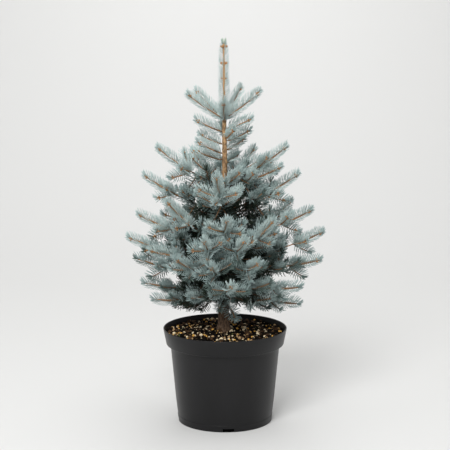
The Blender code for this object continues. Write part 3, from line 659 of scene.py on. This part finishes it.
def shade_shoots(shoots):
    """Give every shoot its light.

    Light comes from above and outside, and each shoot that stands that way takes
    some: more if it is longer, nearer and more in line. Shoots are ranked by what
    is left, from 0 to 1, and gain with height. The leader has its own light, outer
    shoots are never in deep shade, and the weak twigs inside mostly are.
    """
    middle = np.array([(shoot["root"] + shoot["tip"]) / 2.0 for shoot in shoots])
    length = np.array([np.linalg.norm(shoot["tip"] - shoot["root"]) for shoot in shoots])
    out = (middle - TREE_PLACE) * np.array([1.0, 1.0, 0.0])
    reach = np.linalg.norm(out, axis=1)
    sky = unit(unit(out) + SHADE_RISE * UP)
    gap = middle[None] - middle[:, None]
    distance = np.linalg.norm(gap, axis=2) + 1e-6
    in_line = np.clip(np.einsum("ijk,ik->ij", gap, sky) / distance, 0, 1) ** 2
    shade = (in_line * np.exp(-distance / SHADE_REACH) * length).sum(axis=1)
    rank = 1.0 - np.argsort(np.argsort(shade)) / (len(shoots) - 1.0)
    high = (middle[:, 2] - CROWN_FOOT) / (TRUNK_TOP - CROWN_FOOT)
    for number, shoot in enumerate(shoots):
        order, inside = shoot["order"], reach[number] < INNER_REACH
        light = rank[number] + LIGHT_WITH_HEIGHT * min(high[number], HIGH_ENOUGH)
        light += LAST_SHOOT_LIGHT if order == LAST else 0.0
        if order == LEADER:
            light = LEADER_LIGHT
        if order == TRUNK_TWIG and inside and middle[number][2] < BRIGHT_TRUNK:
            light *= TRUNK_TWIG_LIGHT
        if reach[number] > OUTER_CROWN and order < TRUNK_TWIG:
            light = max(light, OUTER_LEAST)
        if order == SHADE_TWIG:
            outer = np.clip((reach[number] - INNER_REACH) / INNER_REACH, 0, 1)
            light = INNER_LIGHT * rank[number] + LIGHT_WITH_HEIGHT * high[number]
            light += OUTER_GAIN * outer
        shoot["light"] = light


def grow():
    """All boughs as (line, run), and all shoots with their order, light and chance."""
    boughs = []
    start = trunk_centre(LEADER_NEEDLES - 0.014)
    grown = [(start, trunk_centre(LEADER_TIP), LEADER)]
    height, members = TOP_WHORL
    for azimuth, reach, bud_height in members:
        end = TREE_PLACE + flat_way(azimuth) * reach + UP * bud_height
        grown.append((trunk_centre(height), end, LAST))
    for whorl, (height, members) in enumerate(WHORLS, start=2):
        for number, (azimuth, reach, bud_height) in enumerate(members, start=1):
            seed = 100 * whorl + number
            bend = np.random.default_rng(seed).uniform(-0.05, 0.05)
            foot = height + WHORL_STAGGER * (-1.0) ** number
            line, run = bough_curve(foot, azimuth, reach, bud_height, bend)
            boughs.append((line, run))
            first = side_shoots(line, run, seed)
            grown += first + finer_shoots(line, run, first, seed)
    grown += trunk_twigs()
    shoots = [{"root": root, "tip": tip, "order": order} for root, tip, order in grown]
    shade_shoots(shoots)
    draw = np.random.default_rng(SEEDS["tones"])
    for shoot in shoots:
        shoot["chance"] = draw.uniform()
    return boughs, shoots


def tone_of(shoot):
    """A shoot's needle tone from its light: the wax is thick in the light and missing in deep
    shade, and the darker tones are also painted shade.
    """
    light = shoot["light"]
    # painted light: low shoots take a lighter tone, for the floor's light from below
    if shoot["tip"][2] < FLOOR_LIT and shoot["order"] < TRUNK_TWIG:
        light = max(light, PAINTED_FLOOR_LIGHT)
    light = light + TONE_SPREAD * (shoot["chance"] - 0.5)
    for tone, least in TONE_LIGHT:
        if light > least:
            return tone
    return "deep"


def shoot_path(shoot, shares):
    """A shoot's middle line: a parabola that hangs a little under its chord."""
    root, tip = shoot["root"], shoot["tip"]
    length = np.linalg.norm(tip - root)
    droop = 4.0 * shares * (1.0 - shares) * SHOOT_HANG * length
    return root + shares[:, None] * (tip - root) - droop[:, None] * UP


def turned(ways, square_ways, angles):
    """Ways turned by the given angles towards others square to them."""
    return ways * np.cos(angles)[:, None] + square_ways * np.sin(angles)[:, None]


def needles_on(shoot, number):
    """Feet, way out, way on, lengths and tones of one shoot's needles.

    They stand in six slowly twisting rows, leave the stem at a wide angle, curve
    on towards the bud, and close round it as a tuft. The last array says which
    have the shoot's tone (0), the next darker one (1) or fresh green (2). The
    darker one is painted shade, on the undersides and in the tufts of the boughs.
    """
    draw = np.random.default_rng(SEEDS["needles"] + number)
    order = shoot["order"]
    length = np.linalg.norm(shoot["tip"] - shoot["root"])
    upright = order == LEADER
    single = order == LAST and length < SINGLE_LENGTH
    density = (LEADER_DENSITY if upright else SINGLE_DENSITY if single else
               OUTER_DENSITY if order < SHORT else INNER_DENSITY)
    count = int(density * length)
    total = count + TUFT_NEEDLES
    tuft = np.linspace(0, 1, TUFT_NEEDLES)
    share = np.concatenate([(np.arange(count) + 0.5) / count, 1.0 - TUFT_DEPTH * tuft / length])
    share = np.clip(share + draw.normal(0, SHARE_SPREAD, total), 0.005, 1.0)
    centre = shoot_path(shoot, share)
    way = unit(shoot_path(shoot, share + 0.01) - shoot_path(shoot, share - 0.01))
    side, above = square_to(way)
    turn = np.radians(TURN_STEP * np.arange(total)) + draw.normal(0, TURN_SPREAD, total)
    turn = turn + PARTING * np.sin(2.0 * turn)
    rise = 0.0 if upright else UPWARD_LEAN * (SINGLE_RISE if single else 1.0)
    outward = unit(turned(side, above, turn) + rise * UP)
    lean = np.interp(share, *LEANS)
    lean[count:] = TUFT_LEAN - TUFT_CLOSING * tuft
    lean = np.radians(lean + draw.normal(0, LEAN_SPREAD, total))
    first = unit(turned(way, outward, lean))
    second = unit(turned(way, outward, lean * LATER_LEAN) + LATER_RISE * UP)
    size = NEEDLE_LENGTH * np.interp(share, *SIZES)
    size[count:] *= 1.0 if upright else TUFT_SIZE
    full_length, least = SHORT_SHOOT
    size = size * draw.normal(1.0, SIZE_SPREAD, total)
    size = size * (least + (1.0 - least) * min(length / full_length, 1.0))
    tone = np.zeros(total, int)
    if upright:
        size = size * LEADER_NEEDLES_SHARE
    else:
        size = size * np.interp(outward[:, 2], *SIDE_SIZES)
        # painted shade: needles on the shoot's underside take the next darker tone
        tone[outward[:, 2] < SHADED_UNDERSIDE] = 1
    # painted shade: the tuft round a bough shoot's bud takes the next darker tone; the leader's
    # is fresh green
    tone[count:] = 2 if upright else 1
    return centre + outward * FOOT_DEPTH, first, second, size, tone


def needle_mesh(feet, first, second, sizes):
    """Three-sided needles: a ring at the foot, the bend and the shoulder, then a point.

    The inner part runs the way out, and the rest follows the way on.
    """
    to_bend, to_shoulder, to_point = NEEDLE_PARTS
    ring = rings(unit(first + second), np.radians(np.array([90.0, 210.0, 330.0])))
    length = sizes[:, None]
    bend = feet + first * to_bend * length
    shoulder = bend + second * to_shoulder * length
    levels = [place[:, None] + ring * radius
              for place, radius in zip((feet, bend, shoulder), NEEDLE_RADII)]
    point = (shoulder + second * to_point * length)[:, None]
    pattern = [[0, 2, 1]]
    for base in (0, 3):
        for corner in range(3):
            here = base + corner
            following = base + (corner + 1) % 3
            pattern += [[here, following, following + 3], [here, following + 3, here + 3]]
    pattern += [[6, 7, 9], [7, 8, 9], [8, 6, 9]]
    return repeated(np.concatenate([*levels, point], axis=1), np.array(pattern))


def make_needles(shoots):
    """The needles of all shoots, joined by tone into pieces that aren't too large."""
    tones = {name: new_material("%s_needles" % name, colour, *NEEDLE_WAX)[0]
             for name, colour in LIT_TO_SHADED_NEEDLE_TONES.items()}
    sets = {tone: [] for tone in tones}
    for number, shoot in enumerate(shoots):
        *arrays, chosen = needles_on(shoot, number)
        own = TONE_ORDER.index(tone_of(shoot))
        # the next darker tone: painted shade for the undersides and the tufts
        darker = min(own + 1, len(TONE_ORDER) - 1)
        for kind, tone in enumerate((TONE_ORDER[own], TONE_ORDER[darker], "tip_green")):
            sets[tone].append([array[chosen == kind] for array in arrays])
    pieces = []
    most = PIECE_TRIANGLES // NEEDLE_TRIANGLES
    for tone, parts in sets.items():
        arrays = [np.concatenate([part[kind] for part in parts]) for kind in range(4)]
        total = len(arrays[0])
        cuts = np.array_split(np.arange(total), math.ceil(total / most))
        for number, rows in enumerate(cuts, start=1):
            points, faces = needle_mesh(*[array[rows] for array in arrays])
            piece = make_piece("needles_%s_%d" % (tone, number), points, faces, tones[tone])
            pieces.append(piece)
    return pieces


def bud_mesh(places, ways, sizes):
    """Egg-shaped buds: rings along each way, as wide as a half sine wave."""
    steps, sides, fullness, width = 5, 6, 0.8, 0.42
    share = np.linspace(0, 1, steps)
    girth = np.sin(np.pi * np.clip(share, 0.04, 0.97)) ** fullness * width
    centre = places[:, None] + ways[:, None] * (share[None, :, None] * sizes[:, None, None])
    radius = girth[None, :, None, None] * sizes[:, None, None, None]
    points = centre[:, :, None] + rings(ways, full_turn(sides))[:, None] * radius
    return repeated(points.reshape(len(places), -1, 3), grid_faces(steps, sides, True))


def make_buds(shoots):
    """Buds at the tips of the lit shoots, and in rings round the leader."""
    material = twig_bark("bud_scales")
    buds = []
    end_depth, side_depth = BUD_DEPTHS
    most, out, onwards = SIDE_BUDS
    for number, shoot in enumerate(shoots):
        if shoot["light"] < YOUNG_TWIG_LIGHT - BUD_LIGHT:
            continue
        draw = np.random.default_rng(SEEDS["buds"] + number)
        way = unit(shoot["tip"] - shoot["root"])
        strong = shoot["order"] < 1
        end_size, side_size = BUD_SIZES[strong]
        buds.append((shoot["tip"] - way * end_depth, way, end_size))
        turns = draw.uniform(0, 2 * np.pi) + full_turn(most)[:most if strong else 1]
        for outward in rings(way[None], turns)[0]:
            place = shoot["tip"] - way * side_depth + outward * out
            buds.append((place, unit(way * onwards + outward), side_size))
    start, twist = LEADER_BUD_TURNS
    for height, count, size in LEADER_BUDS:
        for index in range(count):
            outward = flat_way(start + 360.0 * index / count + height * twist)
            place = trunk_centre(height) + outward * LEADER_BUD_REACH
            buds.append((place, unit(outward + UP * 0.5), size))
    piece = make_piece("buds", *bud_mesh(*map(np.array, zip(*buds))), material)


def make_twigs(boughs, shoots):
    """The leader's stem, the twigs sorted by light, and the boughs.

    The boughs' young ends are one piece with the twigs in the light. Their inner
    parts are one with the twigs deep inside, and that piece is given back.
    """
    stems = {name: [] for name in STEMS}
    share = np.linspace(0, 1, TWIG_RINGS)
    for shoot in shoots:
        light = shoot["light"]
        name = ("leader_stem" if shoot["order"] == LEADER else
                "twigs" if light > YOUNG_TWIG_LIGHT else
                "shaded_twigs" if light > OLD_TWIG_LIGHT else "bough_limbs")
        foot, end = STEMS[name][1]
        radii = foot + (end - foot) * share
        stems[name].append(tube(shoot_path(shoot, share), radii, TWIG_SIDES))
    most, young_length = YOUNG_PART
    knob, fine, coarse = KNOBS
    for line, run in boughs:
        places = np.linspace(-BOUGH_ROOT, run[-1], BOUGH_RINGS)
        points = np.array([along(line, run, place)[0] for place in places])
        radii = stem_radius(run[-1] - places) + BARK_DEPTH
        radii = radii * (1.0 + knob * np.sin(places * fine) * np.sin(places * coarse + 1.0))
        split = int(BOUGH_RINGS * (1.0 - min(most, young_length / run[-1])))
        stems["bough_limbs"].append(tube(points[:split + 1], radii[:split + 1], BOUGH_SIDES[0]))
        stems["twigs"].append(tube(points[split:], radii[split:], BOUGH_SIDES[1]))
    pieces = {name: make_piece(name, *joined(tubes), twig_bark(STEMS[name][0]))
              for name, tubes in stems.items()}
    return pieces["bough_limbs"]


def trunk_material():
    """Bark that is grey-brown low down and tan near the leader, broken by dark flecks."""
    material, tree, shader = new_material("trunk_bark", (0.2, 0.12, 0.07), 0.85)
    coordinates = tree.nodes.new("ShaderNodeTexCoord")
    split = tree.nodes.new("ShaderNodeSeparateXYZ")
    tree.links.new(coordinates.outputs["Object"], split.inputs["Vector"])
    share = mapped(tree, split.outputs["Z"], {"From Min": 0.20, "From Max": 0.70})
    flecks = noise_on_object(tree, 260.0, 5.0, (1.0, 1.0, 0.5))
    mix = tree.nodes.new("ShaderNodeMix")
    mix.data_type = "RGBA"
    mix.blend_type = "MULTIPLY"
    mix.inputs["Factor"].default_value = 0.75
    shade = colour_ramp(tree, flecks, ((0.42, (0.16, 0.14, 0.12)), (0.58, (1.0, 1.0, 1.0))))
    tree.links.new(colour_ramp(tree, share, TRUNK_STOPS), mix.inputs["A"])
    tree.links.new(shade, mix.inputs["B"])
    tree.links.new(mix.outputs["Result"], shader.inputs["Base Color"])
    add_bump(tree, shader, flecks, 0.6, 0.0006)
    return material


def make_trunk():
    """Bark: radius = trunk's radius times (0.97 + scales + roots + collars).

    The scales are two sizes of ridged value noise, which fade by more than half
    up the trunk. The roots swell four sides of the foot, and a collar stands
    under each whorl.
    """
    rows, columns = TRUNK_GRID
    height = np.linspace(SOIL_TOP - TRUNK_OVERLAP, TRUNK_TOP + TRUNK_OVERLAP, rows)
    centre = trunk_centre(height)
    height = height[:, None]
    turn = full_turn(columns)[None, :]
    around = turn / (2 * np.pi)
    scales = sum(size * np.abs(value_noise(around * cells % cells + shift, height * lift) - 0.5)
                 for size, cells, lift, shift in BARK_PLATES)
    scales = scales * (1.0 - BARK_FADE * np.clip(trunk_share(height), 0, 1))
    swell, fall, count, start = ROOT_SWELL
    roots = swell * np.exp(-(height - SOIL_TOP) / fall) * np.cos(turn * count + start)
    collars = sum(COLLAR[0] * np.exp(-((height - whorl[0]) / COLLAR[1]) ** 2) for whorl in WHORLS)
    radius = trunk_radius(height) * (0.97 + scales + roots + collars)
    radius[0] = 0.0
    radius[-1] *= 0.02
    points = around_axis(radius, turn, height)
    points[..., :2] += centre[:, None, :2]
    piece = make_piece("trunk_bark", points.reshape(-1, 3), grid_faces(rows, columns, True),
                       trunk_material())
    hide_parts("trunk")


# ----- pot and soil
def arc(centre, radius, start, end, count):
    """Points on a circle in the (radius, height) plane, from one angle to another."""
    angles = np.radians(np.linspace(start, end, count))
    return [(centre[0] + radius * math.cos(angle), centre[1] + radius * math.sin(angle))
            for angle in angles]


def pot_profile():
    """Half section of the pot, from the middle of its floor inside to its underside."""
    lip_foot = POT_HEIGHT - LIP_DEPTH
    foot_inside, body_inside = FOOT_RADIUS - POT_WALL, BODY_TOP_RADIUS - POT_WALL
    inside = [(0.0, POT_FLOOR), (0.05, POT_FLOOR), (foot_inside - 0.002, POT_FLOOR),
              (foot_inside, POT_FLOOR + 0.002), (BODY_LOW_RADIUS - POT_WALL, BODY_LOW_HEIGHT),
              (body_inside, lip_foot - 0.001), (body_inside + 0.001, lip_foot + POT_WALL * 0.6),
              (LIP_FOOT_RADIUS - POT_WALL - 0.001, lip_foot + POT_WALL)]
    rim = arc((RIM_RADIUS - POT_WALL * 0.55, POT_HEIGHT - POT_WALL * 0.5), POT_WALL * 0.5,
              180.0, -40.0, 9)
    band = [(RIM_RADIUS - 0.0005, POT_HEIGHT - 0.0042),
            (LIP_FOOT_RADIUS + 0.0009, lip_foot + 0.0022)]
    lip_edge = arc((LIP_FOOT_RADIUS - 0.0007, lip_foot + 0.0012), 0.0013, 10.0, -90.0, 6)
    under = [(BODY_TOP_RADIUS + 0.0016, lip_foot - 0.0004),
             (BODY_TOP_RADIUS + 0.0004, lip_foot - 0.0016)]
    heights = np.linspace(lip_foot - 0.006, LEDGE_HEIGHT + 0.0012, 30)
    radii = np.interp(heights, [LEDGE_HEIGHT, BODY_LOW_HEIGHT, lip_foot],
                      [LEDGE_RADIUS, BODY_LOW_RADIUS, BODY_TOP_RADIUS])
    wall = list(zip(radii, heights))
    ledge = arc((LEDGE_RADIUS, LEDGE_HEIGHT - LEDGE_STEP * 0.6), LEDGE_STEP * 1.1, 80.0, -30.0, 5)
    foot_band = [(LEDGE_RADIUS + 0.0003, LEDGE_HEIGHT - 0.0022), (LEDGE_RADIUS + 0.0001, 0.0086),
                 (LEDGE_RADIUS, 0.0080), (LEDGE_RADIUS, 0.0079), (LEDGE_RADIUS - 0.0004, 0.0040)]
    foot = arc((FOOT_RADIUS - 0.0008, 0.0014), 0.0014, 0.0, -90.0, 6)
    return np.array([*inside, *rim, *band, *lip_edge, *under, *wall, *ledge, *foot_band, *foot,
                     (0.08, 0.0), (0.0, 0.0)])


def notch_middles():
    return np.radians(NOTCH_TURN + 360.0 / NOTCH_COUNT * np.arange(NOTCH_COUNT))


def make_pot():
    """The half section turned round the axis, with drain notches pressed into the foot."""
    colour = (0.0095, 0.0095, 0.0100)
    material, tree, shader = new_material("black_pot_plastic", colour, 0.42, 0.28)
    grain = noise_on_object(tree, 900.0, 3.0)
    wear = noise_on_object(tree, 14.0, 5.0, (1.0, 1.0, 0.25))
    colour_between(tree, shader, wear,
                   ((0.30, (0.0068, 0.0067, 0.0073)), (0.75, (0.0108, 0.0106, 0.0116))))
    rough = mapped(tree, wear, {"To Min": 0.30, "To Max": 0.44})
    tree.links.new(rough, shader.inputs["Roughness"])
    add_bump(tree, shader, grain, 0.22, 0.0003)
    profile = pot_profile()
    half = NOTCH_WIDTH / 2.0 / FOOT_RADIUS
    middles = notch_middles()
    edges = [middle + sign * (half + step)
             for middle in middles for sign in (-1, 1) for step in (0.0, NOTCH_SIDE)]
    angles = np.concatenate([full_turn(POT_COLUMNS), np.mod(edges, 2 * np.pi)])
    angles = np.unique(angles)
    radius = np.broadcast_to(profile[:, 0:1], (len(profile), len(angles))).copy()
    height = np.broadcast_to(profile[:, 1:2], radius.shape)
    from_middles = np.angle(np.exp(1j * (angles[None] - middles[:, None])))
    inside = np.min(np.abs(from_middles), axis=0) < half + NOTCH_SIDE / 2.0
    outer_face = np.arange(len(profile)) > len(profile) // 2
    cut = outer_face[:, None] & (height < NOTCH_HEIGHT - 0.00005) & inside[None]
    cut = cut & (radius > FOOT_RADIUS - 0.003)
    radius[cut] = radius[cut] - NOTCH_DEPTH
    radius[0] = POLE_RADIUS
    radius[-1] = POLE_RADIUS
    points = around_axis(radius, angles, height)
    faces = grid_faces(len(profile), len(angles), True)[:, ::-1]
    pot = make_piece("pot_shell", points.reshape(-1, 3), faces, material)
    pot.data.set_sharp_from_angle(angle=math.radians(38.0))
    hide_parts("pot")


def make_painted_notch_shade():
    """Painted shade in the dark openings behind the notches: black curved plates from the floor
    to the notch's top.
    """
    # near-black, fully rough and without specular: painted shade
    material = new_material("painted_shade_black", (0.0015, 0.0015, 0.0015), 1.0, 0.0)[0]
    half = NOTCH_WIDTH / 2.0 / FOOT_RADIUS
    (inner, outer), (low, high) = SHADE_PLATE_RADII, SHADE_PLATE_HEIGHTS
    radius, height = np.array([(inner, low), (outer, low), (outer, high), (inner, high)]).T
    caps = np.array([[3, 2, 1, 0], np.arange(4) + 4 * (SHADE_PLATE_STEPS - 1)])
    faces = np.concatenate([grid_faces(SHADE_PLATE_STEPS, 4, True), caps])
    turn = np.linspace(notch_middles() - half, notch_middles() + half, SHADE_PLATE_STEPS, axis=1)
    plates = around_axis(radius, turn[..., None], height).reshape(NOTCH_COUNT, -1, 3)
    piece = make_piece("notch_shadow_plates", *repeated(plates, faces), material, smooth=False)


def soil_height(radius, turn):
    """The solid's slope and waves, with lumps and crumbs of value noise over them."""
    x, y = radius * np.cos(turn), radius * np.sin(turn)
    edge = soil_rim_radius()
    share = np.clip((radius - SOIL_SEAT_RADIUS) / (edge - SOIL_SEAT_RADIUS), 0, 1)
    slope = (SOIL_TOP - SOIL_EDGE) * (1.0 - share) ** SOIL_HOLLOW
    waves = sum(np.sin(across * x + along_y * y + phase) for across, along_y, phase in CLOD_WAVES)
    waves = CLOD_HEIGHT * waves / len(CLOD_WAVES) * np.sin(np.pi * share) ** 0.5
    height = SOIL_EDGE + slope + waves
    for size, cells, shift in SOIL_RELIEF:
        height = height + size * (value_noise(x * cells + shift, y * cells + shift) - 0.5)
    return height


def soil_rim_radius():
    share = (SOIL_EDGE - (POT_HEIGHT - LIP_DEPTH)) / LIP_DEPTH
    return LIP_FOOT_RADIUS + (RIM_RADIUS - LIP_FOOT_RADIUS) * share - POT_WALL - 0.0006


def make_soil():
    """A turned surface of the soil's height, closed underneath by a flat disc."""
    stops = ((0.36, (0.0012, 0.0009, 0.0006)), (0.60, (0.0060, 0.0040, 0.0025)),
             (0.84, (0.040, 0.025, 0.014)))
    material = noisy_material("potting_compost", stops, 0.95, 0.08, (330.0, 6.0), (1.0, 0.0016))
    rows, columns = SOIL_GRID
    outer = soil_rim_radius()
    radius = np.linspace(POLE_RADIUS, outer, rows)[:, None]
    turn = full_turn(columns)[None]
    height = soil_height(radius, turn)
    low = np.full((2, columns), SOIL_EDGE - SOIL_SKIRT)
    radius = np.concatenate([radius, [[outer - 0.002], [POLE_RADIUS]]])
    points = around_axis(radius, turn, np.concatenate([height, low]))
    faces = grid_faces(rows + 2, columns, True)
    soil = make_piece("potting_soil", points.reshape(-1, 3), faces, material)
    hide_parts("soil")


def pebble_shape():
    """Unit pebble: an octahedron with every edge halved, 18 points and 32 faces."""
    points = [np.array(point, float) for point in (
        (1, 0, 0), (0, 1, 0), (-1, 0, 0), (0, -1, 0), (0, 0, 1), (0, 0, -1))]
    solid = [(corner, (corner + 1) % 4, 4) for corner in range(4)]
    solid += [((corner + 1) % 4, corner, 5) for corner in range(4)]
    halves, faces = {}, []
    for a, b, c in solid:
        middles = []
        for edge in ((a, b), (b, c), (c, a)):
            first, second = sorted(edge)
            if (first, second) not in halves:
                halves[first, second] = len(points)
                points.append(unit(points[first] + points[second]))
            middles.append(halves[first, second])
        ab, bc, ca = middles
        faces += [(a, ab, ca), (ab, b, bc), (ca, bc, c), (ab, bc, ca)]
    return np.array(points), np.array(faces)


def random_turns(draw, count):
    """Rotation matrices from random unit quaternions."""
    w, x, y, z = unit(draw.normal(size=(count, 4))).T
    rows = ((1 - 2 * (y * y + z * z), 2 * (x * y - z * w), 2 * (x * z + y * w)),
            (2 * (x * y + z * w), 1 - 2 * (x * x + z * z), 2 * (y * z - x * w)),
            (2 * (x * z - y * w), 2 * (y * z + x * w), 1 - 2 * (x * x + y * y)))
    return np.stack([np.stack(row, -1) for row in rows], -2)


def scatter(seed, count, sizes, stretch, lift):
    """Grains on the soil: pebbles even over its area, clear of the stem and the wall."""
    draw = np.random.default_rng(seed)
    least, most = GRAIN_CLEARANCES[0], soil_rim_radius() - GRAIN_CLEARANCES[1]
    radius = np.sqrt(draw.uniform(least ** 2, most ** 2, count))
    turn = draw.uniform(0, 2 * np.pi, count)
    size = draw.uniform(*sizes, count)
    shape, faces = pebble_shape()
    scale = size[:, None] * draw.uniform(1.0 - stretch, 1.0 + stretch, (count, 3))
    uneven = draw.uniform(-UNEVENNESS, UNEVENNESS, (count, len(shape), 1))
    grain = shape[None] * (1.0 + uneven) * scale[:, None]
    grain = np.einsum("nij,npj->npi", random_turns(draw, count), grain)
    centre = around_axis(radius, turn, soil_height(radius, turn) + size * lift)
    return repeated(centre[:, None] + grain, faces)


def make_grains():
    """One piece for each kind of grain."""
    for number, (name, count, sizes, stretch, lift, *finish) in enumerate(GRAINS):
        points, faces = scatter(SEEDS["grains"] + number, count, sizes, stretch, lift)
        piece = make_piece(name, points, faces, mottled(name, *finish, GRAIN_FINISH),
                           smooth=name == "amber_feed")


def make_root_threads():
    """Curly dry root threads: random walks over the soil, each a thin tube."""
    draw = np.random.default_rng(SEEDS["threads"])
    threads = []
    steps, sides, curl, lift = 14, 5, 0.45, 0.0016
    nearest, farthest, clearance = 0.025, 0.118, 0.002
    arch = lift * np.sin(np.linspace(0, np.pi, steps))
    for _ in range(THREADS):
        radius = math.sqrt(draw.uniform(nearest ** 2, farthest ** 2))
        turn = draw.uniform(0, 2 * np.pi)
        heading = draw.uniform(0, 2 * np.pi) + np.cumsum(draw.normal(0, curl, steps))
        stride = draw.uniform(*THREAD_STRIDES)
        x = radius * math.cos(turn) + np.cumsum(np.cos(heading)) * stride
        y = radius * math.sin(turn) + np.cumsum(np.sin(heading)) * stride
        reach = np.minimum(np.hypot(x, y), soil_rim_radius() - clearance)
        angle = np.arctan2(y, x)
        path = around_axis(reach, angle, soil_height(reach, angle) + lift + arch)
        threads.append(tube(path, np.full(steps, THREAD_RADIUS), sides))
    material = mottled("root_threads", *THREAD_COLOURS, 0.8, GRAIN_FINISH)
    piece = make_piece("root_threads", *joined(threads), material)


# ----- the studio
def make_floor():
    """A pale sweep: level floor that curls up far behind as a quarter circle."""
    material = new_material("pale_sweep", FLOOR_COLOUR, 0.9)[0]
    level = np.linspace(FLOOR_FRONT, FLOOR_BEND, 22)
    curl = np.linspace(0.1, np.pi / 2, 16)
    depth = np.concatenate([level, FLOOR_BEND + FLOOR_CURL * np.sin(curl),
                            [FLOOR_BEND + FLOOR_CURL]])
    rise = np.concatenate([np.zeros(len(level)), FLOOR_CURL - FLOOR_CURL * np.cos(curl),
                           [FLOOR_TOP]])
    width = np.linspace(-FLOOR_SIDE, FLOOR_SIDE, 9)
    points = np.stack(np.broadcast_arrays(width[None], depth[:, None], rise[:, None]), axis=-1)
    faces = grid_faces(len(depth), len(width), False)[:, ::-1]
    floor = mesh_object("studio_floor", points.reshape(-1, 3), faces, material)


def add_light(name, place, target, size, power):
    """A square softbox at a place, turned to face its target."""
    data = bpy.data.lights.new(name, "AREA")
    data.shape = "SQUARE"
    data.size = size
    data.energy = power
    light = new_object(name, data)
    light.location = place
    way = np.array(target) - np.array(place)
    light.rotation_euler = (math.acos(-way[2] / np.linalg.norm(way)), 0.0,
                            math.atan2(way[1], way[0]) - math.pi / 2.0)


def make_studio():
    world = bpy.data.worlds.new("studio_air")
    bpy.context.scene.world = world
    world.use_nodes = True
    background = world.node_tree.nodes["Background"]
    background.inputs["Color"].default_value = (1.0, 1.0, 1.0, 1.0)
    background.inputs["Strength"].default_value = 0.27
    for light in LIGHTS:
        add_light(*light)
    scene = bpy.context.scene
    scene.view_settings.view_transform = "Standard"
    scene.view_settings.look = "None"


def make_camera():
    data = bpy.data.cameras.new("front_camera")
    data.lens = 108.8
    data.sensor_width = 36.0
    data.clip_end = 100.0
    camera = new_object("front_camera", data)
    camera.location = CAMERA_PLACE
    camera.rotation_euler = (math.pi / 2.0 - CAMERA_PITCH, 0.0, 0.0)
    bpy.context.scene.camera = camera


def main():
    make_camera()
    make_studio()
    make_floor()
    make_pot()
    # painted shade in the pot's notches
    make_painted_notch_shade()
    make_soil()
    make_grains()
    make_root_threads()
    make_trunk()
    boughs, shoots = grow()
    limbs = make_twigs(boughs, shoots)
    make_buds(shoots)
    needles = make_needles(shoots)
    masses, bare = [sorted(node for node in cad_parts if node.startswith(start))
                    for start in ("needles_", "bough_")]
    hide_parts(*bare)
    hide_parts(*masses)


main()
